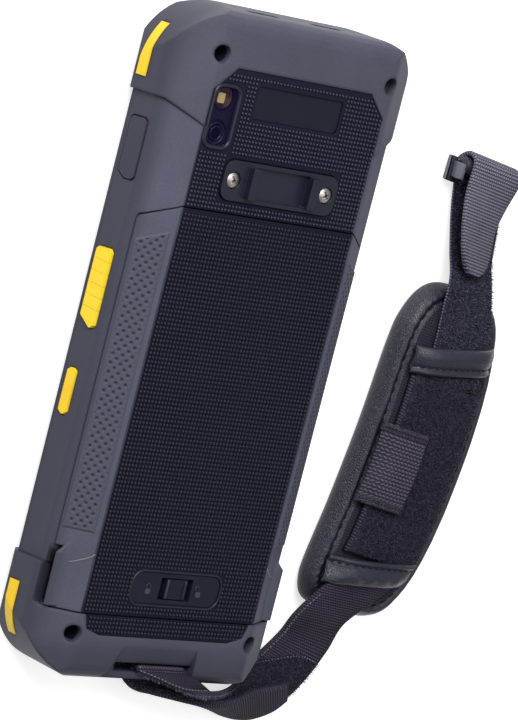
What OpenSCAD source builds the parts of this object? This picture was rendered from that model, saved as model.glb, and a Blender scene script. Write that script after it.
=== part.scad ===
// Rugged handheld data collector lying on its screen, with its padded hand strap beside it.
// X runs to the right seen from the rear, Y to the top end and Z out of the rear face.

/* [Body] */
// Frame beside the cover glass, out to the side wall
bezel_side = 4.7; // [4.2:0.1:8]
// Frame beyond the cover glass, out to the end bumper
bezel_end = 7.75; // [7.25:0.25:12]
// Height of the rear panel above the front rim
body_t = 18.5; // [18:0.1:21]
// Radius of the outline corners
corner_r = 20; // [15:0.5:22]
// Width of each sloping flank
flank_w = 10; // [9:0.1:11]
// Drop of a flank from the rear panel to the side wall
flank_h = 6.1; // [5.6:0.1:6.6]
// Lean of a side wall over its height
wall_lean = 2.2; // [1.4:0.1:2.8]
// Bevel round the front rim
rim_bevel = 2.4; // [1.6:0.1:3]
// Bevel at the rear edge of each end
end_bevel = 2.6; // [1.6:0.1:3.4]
// Rounding of the edges along the flanks
shoulder_r = 6; // [3:0.5:8]
// Rounding of the edges across the ends
end_r = 4; // [1:0.5:4]

/* [Bumpers] */
// Step of the bumpers beyond the side walls
bumper_step = 1.1; // [0.6:0.1:1.6]
// Rise of the bumpers above the rear panel
bumper_rise = 0.3; // [0.1:0.1:0.6]
// Distance of the top bumper seam from the top end, at the walls
bumper_top_len = 25.2; // [23:0.2:28]
// Fall of the top bumper seam across each flank
bumper_seam_fall = 4.6; // [3:0.2:6]
// Distance of the bottom bumper seam from the bottom end, at the walls
bumper_bottom_len = 29; // [26:0.5:32]
// Height of the coloured inserts
insert_h = 2.9; // [2:0.1:3.6]
// Length of the coloured inserts along the device
insert_l = 14; // [10:0.5:16]

/* [Front] */
// Border of the cover glass beside the display
glass_side = 2; // [1.5:0.1:4]
// Border of the cover glass beyond the display
glass_end = 9; // [8:0.25:14]
// Cover glass thickness
glass_t = 1.2; // [0.8:0.1:1.4]
// Depth of the glass below the front rim
glass_inset = 0.4; // [0.2:0.1:0.6]
// Display module width
display_w = 69; // [64:0.5:76]
// Display module length
display_l = 141; // [134:1:156]

/* [Rear panel] */
// Distance of the panel top edge from the top end
panel_top_gap = 14.1; // [13:0.1:16]
// Corner cut of the panel top edge
panel_cut = 6.2; // [4:0.2:8]
// Length of the camera window
window_l = 16.8; // [15:0.2:18]
// Width of the camera window
window_w = 9.4; // [8.6:0.1:10]
// Length of the recessed plate
plate_w = 28.8; // [20:0.2:32]
// Height of the recessed plate
plate_l = 8.3; // [6:0.1:9]

/* [Strap bracket] */
// Bracket width
bracket_w = 38.4; // [34:0.2:42]
// Bracket height
bracket_l = 10.3; // [9:0.1:12]
// Distance between the bracket screws
bracket_screw_gap = 31.4; // [30:0.2:33]
// Clear gap between the hooks
hook_gap = 19.6; // [17:0.2:21]
// Height of the hooks above the rear panel
hook_h = 2.6; // [2:0.1:3.5]

/* [Battery] */
// Distance of the battery top seam from the top end
battery_top_gap = 50.7; // [49:0.1:52]
// Distance of the battery bottom seam from the bottom end
battery_bottom_gap = 18.15; // [17.5:0.05:19]
// Gap round the battery
battery_fit = 0.35; // [0.3:0.05:0.5]
// Latch plate width
latch_w = 29.2; // [26:0.2:31]
// Latch plate height
latch_l = 8.3; // [7.6:0.1:9]
// Slider width
slider_w = 7; // [6:0.1:9]
// Slider height
slider_l = 5.2; // [4:0.1:6]
// Travel of the slider
slider_travel = 3; // [2:0.1:4]

/* [Side controls] */
// Length of the scan button
scan_l = 20.4; // [17:0.2:23]
// Height of the scan button
scan_h = 4.6; // [4:0.1:5]
// Cut at the lower end of the scan button
scan_cut = 2.6; // [1:0.1:3]
// Distance of the scan button from the middle
scan_y = 11.8; // [9:0.2:14]
// Length of the small key
key_l = 12; // [9:0.2:14]
// Height of the small key
key_h = 2.6; // [2:0.1:3.2]
// Distance of the small key from the middle
key_y = -15.4; // [-19:0.2:-13]
// Travel of the scan button and the keys
press = 0.8; // [0.5:0.05:0.9]
// Length of the port flap
flap_l = 15.6; // [13:0.2:17]
// Height of the port flap
flap_h = 5; // [4.4:0.1:5.4]

/* [Strap] */
// Webbing width
web_w = 19; // [16:0.5:20]
// Webbing thickness
web_t = 1.4; // [1:0.1:1.6]
// Pad width
pad_w = 40; // [36:0.5:42]
// Pad length
pad_l = 94; // [88:0.5:98]
// Pad height at its edge
pad_edge = 6.4; // [5:0.1:8]
// Crown of the pad above its edge
pad_crown = 4.2; // [2:0.1:6]
// Turn of the strap away from the device axis
pad_turn = -8.4; // [-10:0.2:-6]
// Distance of the pad centre from the side wall
pad_out = 38.6; // [36:0.2:46]
// Distance of the pad centre from the bottom end
pad_up = 65.65; // [60:0.05:72]
// Radius of the bar in the strap fold
hook_bar_r = 2.2; // [1.8:0.1:2.4]

/* [Hidden] */
$fn = 48;
glass_w = display_w + 2 * glass_side;
glass_l = display_l + 2 * glass_end;
half_w = glass_w / 2 + bezel_side;
half_l = glass_l / 2 + bezel_end;
panel_hw = half_w - wall_lean - flank_w;
ledge_z = body_t - flank_h;
wall_hw = half_w - wall_lean;
rim_z = rim_bevel + 0.6;
end_lean = 0.5;
ease_n = 2;
skin = 1.6;
fit = 0.05;
far = 60;
split_z = 3.8;
rear_z = body_t + bumper_rise;

panel_top = half_l - panel_top_gap;
seam_top = half_l - battery_top_gap;
seam_bottom = -half_l + battery_bottom_gap;
seam_fall = 4.2;
panel_foot = 5.6;
panel_foot_cut = 7.4;

frame_t = 1.2;
frame_z = split_z + fit;
glass_r = 9;
display_t = 1.6;
display_z = glass_inset + glass_t + fit;

cell_floor = 6.9;
bay_hw = wall_hw - 3.3;
bay_top = seam_top - 2.4;
bay_bottom = seam_bottom + 2.4;
block_short = 0.7;
seal_z = ledge_z - 2.2;
seal_h = 1.4;
seal_in = 0.7;
cell_roof = 1.8;
cell_z = cell_floor + 1.2;
cell_top = body_t - cell_roof - 0.4;

latch_y = seam_bottom + 7.7;
latch_depth = 0.8;
slot_w = slider_w + slider_travel + 0.6;
slot_l = slider_l + 0.6;
tab_z = ledge_z + 1.8;
lip_w = 14.4;
lip_t = 2;
lip_z = body_t - 6.6;
tongue_w = 4;
tongue_t = 1.1;
tongue_z = body_t - 5.5;
tongue_end = seam_bottom + 0.9;
catch_y = seam_bottom + 1;
catch_w = 0.8;
catch_hold = slider_travel / 2 - 0.5;
catch_lip = tongue_w / 2 + slider_travel / 2 - catch_hold;
catch_back = tongue_w / 2 + slider_travel / 2 + 1.1;
catch_post = 1.8;
catch_z = tongue_z + tongue_t + 0.4;
catch_top = catch_z + 0.9;

camera_x = -panel_hw + 5;
camera_y = panel_top - 12.6;
lens_dy = -4.5;
flash_dy = 4.5;
lens_r = 3.2;
window_r = 3;
rim_w = 1.1;

plate_y = panel_top - 7.75;
bracket_y = panel_top - 27.8;
bracket_t = 1.6;
bracket_depth = 1;
hook_w = 1.6;
hook_lip = 1;
hook_len = 8;
screw_r = 2;
screw_shank_r = 0.95;
screw_len = 4;

well_r = 2.3;
well_x = panel_hw - 0.2;
well_top_y = half_l - 11.4;
well_bottom_y = -half_l + 12.5;
well_depth = 5.2;
boss_r = 3.6;
case_head_r = 1.9;
case_head_h = 1.4;
case_shank_r = 0.9;
case_shank_l = 4;

upper_floor = seam_top + 3.2;
upper_end = half_l - 6.2;
upper_hw = wall_hw - 4.6;
upper_z = body_t - 2;
lower_hw = 26;
lower_top = seam_bottom - 2.2;
lower_end = -half_l + 9.6;
lower_z = ledge_z - 0.4;

board_t = 1;
board_z = frame_z + frame_t + 1.4;
board_r = 7;
board_in = 1.5;
contact_z = ledge_z - 3.9;
contact_h = 2.2;
contact_w = 2.4;
contact_pitch = 5;
contact_fit = 0.1;

control_z = 4.7;
button_proud = 0.9;
key_proud = 0.5;
button_gap = 0.25;
flange = 0.6;
flange_t = 0.7;
flange_in = 1.1;
switch_gap = 0.1;
switch_rise = 0.2;
switch_in = 0.5;
chamber_in = flange_in + flange_t + press + switch_gap + switch_rise;
switch_l = 5;
switch_h = 2.6;
side_pair_y = 26;
volume_l = 18;
power_l = 9;
power_y = 4;

flap_y = half_l - 39.4;
flap_z = 4.7;
flap_in = 1.2;
flap_proud = 0.25;
flap_gap = 0.3;
plug_l = 9.6;
plug_h = 2;
port_l = 11.4;
port_h = 3.5;
port_z = flap_z + 0.75;
port_in = 6;
mouth_in = flap_in + 2.6;
connector_w = 9;
connector_h = 3.2;
connector_l = 7;
connector_wall = 0.4;

recess_w = 24.4;
recess_y = -half_l + 10.2;
recess_drop = 1.2;
recess_skew = 6;
slot_half = 11.6;
bar_ry = 1.3;
bar_y = -half_l + bar_ry;
bar_z = body_t - 5.5;
bar_rz = 2.6;
slot_gap = 2.9;
slot_y = bar_y + bar_ry + slot_gap;
loop_gap = 0.7;

pad_x = half_w + pad_out;
pad_y = -half_l + pad_up;
pad_floor = 0.3;
pad_power = 3.8;
pad_square = 7;
ring_n = 72;
sheet_nx = 10;
sheet_ny = 8;
path_n = 6;
fold_y = 78.2;
fold_u = -6.2;
fold_z = hook_bar_r + web_t + 1.75;
fold_gap = 0.5;
fold_r = hook_bar_r + fold_gap + web_t / 2;
hook_out = 5;
hook_in = 1.6;
hook_head = 5;
hook_drop = 1;

// Rectangle with rounded corners
module round_rect(w, l, r) {
  square([w - 2 * r, l], center = true);
  square([w, l - 2 * r], center = true);
  for (x = [-1, 1])
    for (y = [-1, 1])
      translate([x * (w / 2 - r), y * (l / 2 - r)])
        circle(r);
}

// Plate with rounded corners standing on z
module round_plate(w, l, r, z, h) {
  translate([0, 0, z])
    linear_extrude(height = h)
      round_rect(w, l, r);
}

// Corner b between a and c, eased by the radius r
function eased(a, b, c, r) = r == 0 ? [b] : let (u = unit(a - b), w = unit(c - b), half = acos(u * w) / 2,
  mid = b + unit(u + w) * r / sin(half), from = b + u * r / tan(half) - mid, to = b + w * r / tan(half) - mid,
  turn = 180 - 2 * half) [for (k = [0:ease_n]) mid + (sin(turn * (1 - k / ease_n)) * from
    + sin(turn * k / ease_n) * to) / sin(turn)];

// Right half of one view: bevelled rim, leaning wall, slope and flat rear
function half_view(half, lean, edge, flat, z, r) = concat([[half - rim_bevel, 0], [half, rim_z]],
  eased([half, rim_z], [half - lean, edge], [flat, z], r), eased([half - lean, edge], [flat, z], [0, z], r));

module side_view(half, lean, edge, flat, z, r) {
  right = half_view(half, lean, edge, flat, z, r);
  n = len(right);
  polygon([for (i = [0:2 * n - 1]) i < n ? right[i] : [-right[2 * n - 1 - i][0], right[2 * n - 1 - i][1]]]);
}

// Body held between two widths of wall and panel, two end lengths and one rear height
module envelope(hw, hl, flat, z, soft = 0) {
  intersection() {
    rotate([90, 0, 0])
      linear_extrude(height = 2 * hl + 20, center = true)
        side_view(hw, wall_lean, z - flank_h, flat, z, soft * shoulder_r);
    rotate([90, 0, 90])
      linear_extrude(height = 2 * hw + 20, center = true)
        side_view(hl, end_lean, z - end_bevel, hl - end_lean - end_bevel, z, soft * end_r);
    translate([0, 0, -1])
      linear_extrude(height = z + 2)
        round_rect(2 * hw, 2 * hl, corner_r);
  }
}

module body_form() {
  envelope(half_w, half_l, panel_hw, body_t, 1);
}

module bumper_form() {
  envelope(half_w + bumper_step, half_l, panel_hw + 0.5, rear_z, 1);
}

module inner_form() {
  envelope(half_w - skin, half_l - skin - 0.8, panel_hw - 0.6, body_t - skin);
}

// Body grown or shrunk at its side walls only
module wall_form(grow) {
  envelope(half_w + grow, half_l, panel_hw + grow, body_t);
}

module top_zone() {
  seam_wall = half_l - bumper_top_len;
  seam_in = seam_wall - bumper_seam_fall;
  translate([0, 0, -1])
    linear_extrude(height = far)
      polygon([[-far, seam_wall + 0.6], [-wall_hw, seam_wall], [-panel_hw, seam_in],
        [-panel_hw, panel_top - panel_cut], [-panel_hw + panel_cut, panel_top],
        [panel_hw - panel_cut, panel_top], [panel_hw, panel_top - panel_cut],
        [panel_hw, seam_in], [wall_hw, seam_wall], [far, seam_wall + 0.6],
        [far, half_l + 10], [-far, half_l + 10]]);
}

module bottom_zone() {
  foot = seam_bottom - panel_foot;
  translate([0, 0, -1])
    linear_extrude(height = far)
      polygon([[-far, seam_bottom], [-panel_hw + 1.2, seam_bottom], [-panel_hw + 2.6, foot + 1.6],
        [-panel_hw + panel_foot_cut, foot], [panel_hw - panel_foot_cut, foot],
        [panel_hw - 2.6, foot + 1.6], [panel_hw - 1.2, seam_bottom], [far, seam_bottom],
        [far, -half_l - 10], [-far, -half_l - 10]]);
  for (s = [-1, 1])
    translate([s * (bay_hw + 1 + far / 2), -half_l + bumper_bottom_len - far / 2, -1])
      cube([far, far, 2 * ledge_z + 2], center = true);
}

module core_form() {
  difference() {
    body_form();
    difference() {
      union() {
        top_zone();
        bottom_zone();
      }
      inner_form();
    }
  }
}

// Plan outline of the battery, grown by g
module battery_plan(g) {
  polygon([[-panel_hw, seam_top + g], [panel_hw, seam_top + g],
    [wall_hw - 1.6 + g, seam_top - seam_fall + g], [wall_hw + g, seam_top - seam_fall - 3],
    [wall_hw + g, seam_bottom + 3.4], [wall_hw - 2.6 + g, seam_bottom - g],
    [-wall_hw + 2.6 - g, seam_bottom - g], [-wall_hw - g, seam_bottom + 3.4],
    [-wall_hw - g, seam_top - seam_fall - 3], [-wall_hw + 1.6 - g, seam_top - seam_fall + g]]);
}

// Sunk lower block of the battery, grown by g and drawn back at its bottom end by short
module battery_block(g, z, h, short) {
  translate([0, (bay_top + bay_bottom + short) / 2, 0])
    round_plate(2 * (bay_hw + g), bay_top - bay_bottom - short + 2 * g, 3, z, h);
}

module battery_bay() {
  translate([0, 0, ledge_z - 0.1])
    linear_extrude(height = far)
      battery_plan(battery_fit);
  battery_block(battery_fit, frame_z, far, 0);
}

// Trapezoid of the strap recess that falls to the bottom end
module strap_recess() {
  intersection() {
    translate([0, 0, bar_z])
      linear_extrude(height = far)
        polygon([[-recess_w / 2, recess_y], [recess_w / 2, recess_y],
          [recess_w / 2 + 1, -half_l - 2], [-recess_w / 2 - recess_skew, -half_l - 2]]);
    rotate([90, 0, 90])
      linear_extrude(height = 2 * far, center = true)
        polygon([[recess_y, rear_z], [slot_y, body_t - recess_drop], [slot_y, bar_z + bar_rz],
          [-half_l - 4, bar_z + bar_rz], [-half_l - 4, far], [recess_y, far]]);
  }
}

// Passage of the webbing behind and below its bar
module strap_slot() {
  translate([-slot_half, bar_y + bar_ry, bar_z - bar_rz - slot_gap])
    cube([2 * slot_half, slot_gap, far]);
  translate([-slot_half, -half_l - 5, bar_z - bar_rz - slot_gap])
    cube([2 * slot_half, slot_y + half_l + 5, slot_gap]);
}

module case_wells() {
  for (x = [-1, 1]) {
    translate([x * well_x, well_top_y, body_t - well_depth])
      cylinder(h = far, r = well_r);
    translate([x * (well_x + 1), well_bottom_y, body_t - well_depth])
      cylinder(h = far, r = well_r);
    translate([x * well_x, well_top_y, body_t - well_depth - case_shank_l])
      cylinder(h = far, r = case_shank_r + fit);
    translate([x * (well_x + 1), well_bottom_y, body_t - well_depth - case_shank_l])
      cylinder(h = far, r = case_shank_r + fit);
  }
}

// Bar along X with a control's side view, on the side s
module control_bar(s, y, z, l, h, cut) {
  translate([0, y, z])
    rotate([90, 0, 90])
      translate([0, 0, s < 0 ? -far : 0])
        linear_extrude(height = far)
          control_face(l, h, cut);
}

// Control outline with its lower bottom corner cut
module control_face(l, h, cut) {
  polygon([[-l / 2 + cut, 0], [l / 2 - 0.8, 0], [l / 2, 0.8], [l / 2, h - 0.8], [l / 2 - 0.8, h],
    [-l / 2 + 0.8, h], [-l / 2, h - 0.8], [-l / 2, min(h - 0.9, cut * 1.3)]]);
}

// Layer of the side wall between two depths
module wall_layer(outer, inner) {
  difference() {
    wall_form(outer);
    wall_form(inner);
  }
}

module button_form(s, y, l, h, cut, proud) {
  intersection() {
    control_bar(s, y, control_z, l, h, cut);
    wall_layer(proud, -flange_in - 0.1);
  }
  intersection() {
    control_bar(s, y, control_z - flange, l + 2 * flange, h + 2 * flange, cut);
    wall_layer(-flange_in, -flange_in - flange_t);
  }
}

module button_pocket(s, y, l, h, cut) {
  g = button_gap;
  intersection() {
    control_bar(s, y, control_z - g, l + 2 * g, h + 2 * g, cut);
    wall_layer(far / 4, -flange_in - 0.2);
  }
  intersection() {
    control_bar(s, y, control_z - flange - g, l + 2 * flange + 2 * g, h + 2 * flange + 2 * g, cut);
    wall_layer(-flange_in + 0.12, -chamber_in);
  }
  switch_form(s, y, h, fit);
}

module switch_form(s, y, h, g) {
  intersection() {
    control_bar(s, y, control_z + h / 2 - switch_h / 2 - g, switch_l + 2 * g, switch_h + 2 * g, 0.9);
    wall_layer(-chamber_in + switch_rise, -chamber_in - switch_in - g);
  }
}

module front_bezel() {
  color([0.23, 0.24, 0.28])
    difference() {
      intersection() {
        core_form();
        translate([-far, -2 * far, -1])
          cube([2 * far, 4 * far, split_z + 1]);
      }
      round_plate(glass_w + 4 * fit, glass_l + 4 * fit, glass_r + 2 * fit, -1, glass_inset + glass_t + 1);
      round_plate(display_w + 0.6, display_l + 0.6, 2, 0, far);
      translate([0, display_l / 2 + 5, 0])
        cylinder(h = far, r = 2.2);
    }
}

module touch_glass() {
  color([0.03, 0.03, 0.04])
    round_plate(glass_w, glass_l, glass_r, glass_inset, glass_t);
}

module display_panel() {
  color([0.1, 0.1, 0.12])
    round_plate(display_w, display_l, 1.8, display_z, display_t);
}

module mid_frame() {
  color([0.62, 0.63, 0.65])
    difference() {
      round_plate(glass_w - 1, glass_l - 3, glass_r, frame_z, frame_t);
      translate([0, upper_floor + 10, 0])
        round_plate(30, 10, 2, 0, far);
      translate([0, (bay_top + bay_bottom) / 2, 0])
        round_plate(44, 60, 4, frame_z + 0.7, far);
    }
}

module main_board() {
  color([0.05, 0.3, 0.16])
    difference() {
      translate([0, (upper_floor + upper_end) / 2, 0])
        round_plate(2 * (upper_hw - board_in), upper_end - upper_floor - 2.6, board_r, board_z, board_t);
      translate([camera_x, camera_y + lens_dy, 0])
        cube([9.4, 9.4, far], center = true);
      translate([-half_w + mouth_in - 0.3, flap_y - connector_w / 2 - 0.3, 0])
        cube([connector_l + 0.6, connector_w + 0.6, far]);
    }
}

module board_shield() {
  color([0.75, 0.76, 0.78])
    translate([6, upper_floor + 13.2, 0])
      difference() {
        round_plate(34, 22, 1.5, board_z + board_t, 2.6);
        round_plate(33, 21, 1, board_z + board_t - 1, 3.2);
      }
}

module rear_housing() {
  color([0.12, 0.13, 0.18])
    difference() {
      intersection() {
        core_form();
        translate([-far, -2 * far, split_z])
          cube([2 * far, 4 * far, far]);
      }
      round_plate(glass_w - 0.6, glass_l - 2.6, glass_r, 0, frame_z + frame_t + fit);
      battery_bay();
      upper_cavity();
      translate([0, (lower_top + lower_end) / 2, 0])
        round_plate(2 * lower_hw, lower_top - lower_end, 2, 0, lower_z);
      strap_recess();
      strap_slot();
      case_wells();
      camera_pocket();
      for (dy = [lens_dy, flash_dy])
        translate([camera_x, camera_y + dy, 0])
          cylinder(h = far, r = lens_r + 0.2);
      translate([0, plate_y, 0])
        round_plate(plate_w + 2 * fit, plate_l + 2 * fit, 0.8, body_t - 0.9, far);
      translate([0, bracket_y, 0])
        round_plate(bracket_w + 0.5, bracket_l + 0.5, 3.2, body_t - bracket_depth, far);
      for (x = [-1, 1])
        translate([x * bracket_screw_gap / 2, bracket_y, 0])
          cylinder(h = far, r = screw_shank_r + fit);
      button_pocket(-1, scan_y, scan_l, scan_h, scan_cut);
      button_pocket(-1, key_y, key_l, key_h, 0.9);
      button_pocket(1, side_pair_y, volume_l, key_h, 0.9);
      button_pocket(1, power_y, power_l, key_h, 0.9);
      flap_pocket();
      for (x = [-1, 0, 1])
        translate([x * contact_pitch, seam_top + 1.5, contact_z])
          cube([contact_w + 2 * contact_fit, 6, contact_h + 2 * contact_fit], center = true);
      translate([-lip_w / 2 - 0.8, bay_top, lip_z - 1])
        cube([lip_w + 1.6, seam_top + 2 - bay_top, lip_t + 2.4]);
    }
  color([0.12, 0.13, 0.18])
    latch_catch();
}

// Room for the board and camera, with the two upper screw bosses left standing
module upper_cavity() {
  difference() {
    intersection() {
      translate([0, (upper_floor + upper_end) / 2, 0])
        round_plate(2 * upper_hw, upper_end - upper_floor, 3, 0, upper_z);
      envelope(half_w - 3, half_l - 4, panel_hw - 2.4, upper_z);
    }
    for (x = [-1, 1])
      translate([x * well_x, well_top_y, board_z + board_t + 0.4])
        cylinder(h = far, r = boss_r);
  }
}

// Hooked post on the bay ledge that holds the latch tongue down
module latch_catch() {
  translate([-catch_back - catch_post, catch_y, ledge_z - 0.4])
    cube([catch_post, catch_w, catch_top - ledge_z + 0.4]);
  translate([-catch_back - 0.1, catch_y, catch_z])
    cube([catch_back - catch_lip + 0.1, catch_w, catch_top - catch_z]);
}

module flap_pocket() {
  intersection() {
    control_bar(-1, flap_y, flap_z - flap_gap, flap_l + 2 * flap_gap, flap_h + 2 * flap_gap, 1.6);
    wall_layer(far / 4, -flap_in - 0.15);
  }
  translate([-far / 2 - wall_hw + port_in, flap_y, port_z + port_h / 2])
    cube([far, port_l, port_h], center = true);
}

module top_bumper() {
  color([0.28, 0.29, 0.33])
    difference() {
      intersection() {
        bumper_form();
        top_zone();
      }
      inner_form();
      insert_pockets();
      case_wells();
      camera_pocket();
      for (x = [-13.5, 8])
        translate([x, half_l, ledge_z - 0.5])
          cube([10, 1.6, 2.2], center = true);
    }
}

// Seat of the camera window
module camera_pocket() {
  translate([camera_x, camera_y, 0])
    round_plate(window_w + 2 * fit, window_l + 2 * fit, window_r, body_t - 1.1, far);
}

module bottom_bumper() {
  color([0.28, 0.29, 0.33])
    difference() {
      intersection() {
        bumper_form();
        bottom_zone();
      }
      inner_form();
      insert_pockets();
      case_wells();
      strap_recess();
      strap_slot();
      translate([0, 0, ledge_z - 0.1])
        linear_extrude(height = far)
          battery_plan(battery_fit);
      finger_room();
    }
}

// Finger hollows at the lower edges of the battery flanks
module finger_hollows() {
  for (s = [-1, 1])
    translate([s * (wall_hw - 3.8 + 4), seam_bottom + 8.1, ledge_z + 0.7])
      cube([8, 15.4, 2.2], center = true);
}

// Room over the side walls below the finger tabs
module finger_room() {
  for (s = [-1, 1])
    translate([s * (wall_hw + 4 - 2.4), seam_bottom + 8.2, ledge_z + 0.9])
      cube([8, 14.6, 3], center = true);
}

// Tabs that stand proud of the battery flanks over the finger hollows
module finger_tabs() {
  for (s = [-1, 1])
    scale([s, 1, 1])
      hull() {
        translate([0, seam_bottom + 14.2, 0])
          rotate([90, 0, 0])
            linear_extrude(height = 13.8)
              polygon([for (p = [[-5.2, 0.9], [-1.2, 0.85], [-0.65, 0.5], [-0.65, 0], [-5.2, 0]])
                [wall_hw + p[0], tab_z + p[1]]]);
        translate([wall_hw - 4, seam_bottom + 16.8, tab_z + 0.3])
          cube([0.6, 0.2, 0.5], center = true);
      }
}

// Bands round the four corners between two growths of the bumper
module insert_band(outer, inner, g) {
  intersection() {
    difference() {
      envelope(half_w + bumper_step + outer, half_l + outer, panel_hw + 4, rear_z + 3);
      envelope(half_w + bumper_step - inner, half_l - inner, panel_hw + 4, rear_z + 3);
    }
    for (s = [-1, 1])
      for (y = [half_l - 21.5 + insert_l / 2, -half_l + 22 - insert_l / 2])
        translate([s * (half_w - 4), y, rim_z + 0.9 + insert_h / 2])
          cube([24, insert_l + 2 * g, insert_h + 2 * g], center = true);
  }
}

module insert_pockets() {
  insert_band(2, 0.9, fit);
}

module bumper_inserts() {
  color([0.98, 0.76, 0.05])
    insert_band(0.2, 0.85, 0);
}

module case_screws() {
  color([0.2, 0.2, 0.22])
    for (x = [-1, 1])
      for (p = [[well_x, well_top_y], [well_x + 1, well_bottom_y]])
        translate([x * p[0], p[1], body_t - well_depth + fit])
          difference() {
            union() {
              cylinder(h = case_head_h, r = case_head_r);
              translate([0, 0, -case_shank_l + 0.4])
                cylinder(h = case_shank_l, r = case_shank_r);
            }
            translate([0, 0, case_head_h - 0.7])
              cylinder(h = 1, r = 0.9, $fn = 6);
          }
}

module camera_window() {
  color([0.06, 0.06, 0.14])
    translate([camera_x, camera_y, 0])
      difference() {
        round_plate(window_w, window_l, window_r, body_t - 1.05, 1.55);
        round_plate(window_w - 2 * rim_w, window_l - 2 * rim_w, window_r - rim_w, body_t + 0.05, 1);
      }
}

module camera_module() {
  color([0.08, 0.08, 0.09])
    translate([camera_x, camera_y + lens_dy, 0]) {
      cylinder_stack();
    }
}

// Camera base with its lens barrel
module cylinder_stack() {
  difference() {
    union() {
      translate([0, 0, board_z + 3.4])
        cube([8.4, 8.4, 4.8], center = true);
      translate([0, 0, board_z + 5])
        cylinder(h = body_t - 1.2 - board_z - 5, r = lens_r);
    }
    translate([0, 0, body_t - 2])
      cylinder(h = 2, r = 1.7);
  }
}

module flash_led() {
  color([0.95, 0.8, 0.35])
    translate([camera_x, camera_y + flash_dy, 0]) {
      translate([0, 0, upper_z - 0.6])
        cylinder(h = body_t - upper_z - 0.6, r = lens_r - 0.3);
    }
}

module label_plate() {
  color([0.1, 0.11, 0.15])
    translate([0, plate_y, 0])
      difference() {
        round_plate(plate_w, plate_l, 0.7, body_t - 0.85, 0.5);
        translate([plate_w / 2, -plate_l / 2, 0])
          rotate([0, 0, 45])
            cube([1.6, 1.6, 4 * far], center = true);
      }
}

module strap_bracket() {
  base = body_t - bracket_depth + fit;
  color([0.13, 0.14, 0.19])
    translate([0, bracket_y, 0])
      difference() {
        union() {
          round_plate(bracket_w, bracket_l, 3, base, bracket_t);
          for (s = [-1, 1]) {
            translate([s * (hook_gap / 2 + hook_w / 2), 0, base + (hook_h + bracket_depth) / 2])
              cube([hook_w, hook_len, hook_h + bracket_depth], center = true);
            translate([s * (hook_gap / 2 - hook_lip / 2 + 0.1), 0, body_t + hook_h - 0.45])
              cube([hook_lip + 0.2, hook_len, 0.9], center = true);
          }
        }
        round_plate(hook_gap - 0.8, bracket_l - 2, 0.6, base + 0.6, bracket_t);
        for (x = [-1, 1])
          translate([x * bracket_screw_gap / 2, 0, 0]) {
            cylinder(h = far, r = screw_shank_r + 2 * fit);
            translate([0, 0, base + 0.7])
              cylinder(h = 3, r = screw_r + 0.2);
          }
      }
}

module bracket_screws() {
  color([0.8, 0.8, 0.8])
    for (x = [-1, 1])
      translate([x * bracket_screw_gap / 2, bracket_y, body_t - bracket_depth + 0.8])
        difference() {
          union() {
            cylinder(h = 1.3, r = screw_r);
            translate([0, 0, 0.4 - screw_len])
              cylinder(h = screw_len, r = screw_shank_r);
          }
          translate([0, 0, 0.7])
            cylinder(h = 1, r = 1, $fn = 6);
        }
}

module port_flap() {
  color([0.24, 0.25, 0.29]) {
    intersection() {
      control_bar(-1, flap_y, flap_z, flap_l, flap_h, 1.6);
      wall_layer(flap_proud, -flap_in);
    }
    intersection() {
      translate([-far / 2, flap_y, port_z + port_h / 2])
        cube([far, plug_l, plug_h], center = true);
      wall_layer(-flap_in + 0.1, -flap_in - 1.3);
    }
  }
}

module port_connector() {
  inner_h = connector_h - 2 * connector_wall;
  color([0.7, 0.7, 0.72])
    translate([-half_w + mouth_in, flap_y, port_z + port_h / 2])
      rotate([90, 0, 90])
        difference() {
          linear_extrude(height = connector_l)
            round_rect(connector_w, connector_h, connector_h / 2 - fit);
          translate([0, 0, -1])
            linear_extrude(height = connector_l)
              round_rect(connector_w - 2 * connector_wall, inner_h, inner_h / 2 - fit);
        }
}

module scan_button() {
  color([0.98, 0.76, 0.05])
    button_form(-1, scan_y, scan_l, scan_h, scan_cut, button_proud);
}

module scan_switch() {
  color([0.6, 0.6, 0.62])
    switch_form(-1, scan_y, scan_h, 0);
}

module side_key() {
  color([0.98, 0.76, 0.05])
    button_form(-1, key_y, key_l, key_h, 0.9, key_proud);
}

module key_switch() {
  color([0.6, 0.6, 0.62])
    switch_form(-1, key_y, key_h, 0);
}

module volume_key() {
  color([0.2, 0.2, 0.23])
    button_form(1, side_pair_y, volume_l, key_h, 0.9, key_proud);
}

module volume_switch() {
  color([0.6, 0.6, 0.62])
    switch_form(1, side_pair_y, key_h, 0);
}

module power_key() {
  color([0.2, 0.2, 0.23])
    button_form(1, power_y, power_l, key_h, 0.9, key_proud);
}

module power_switch() {
  color([0.6, 0.6, 0.62])
    switch_form(1, power_y, key_h, 0);
}

module speaker() {
  color([0.1, 0.1, 0.1])
    translate([-12, (lower_top + lower_end) / 2, 0])
      round_plate(16, 4.6, 1, frame_z + frame_t + 0.4, 3.6);
}

module vibration_motor() {
  color([0.75, 0.75, 0.77])
    translate([8, (lower_top + lower_end) / 2, frame_z + frame_t + 2.4])
      rotate([0, 90, 0])
        cylinder(h = 10, r = 2);
}

module gnss_antenna() {
  color([0.85, 0.8, 0.68])
    translate([12, upper_end - 9.2, board_z + board_t + 2.1])
      cube([15, 15, 4], center = true);
}

module bay_contacts() {
  color([0.9, 0.75, 0.3])
    for (x = [-1, 0, 1])
      translate([x * contact_pitch, seam_top + 1.6, contact_z])
        cube([contact_w, 5.6, contact_h], center = true);
}

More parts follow.
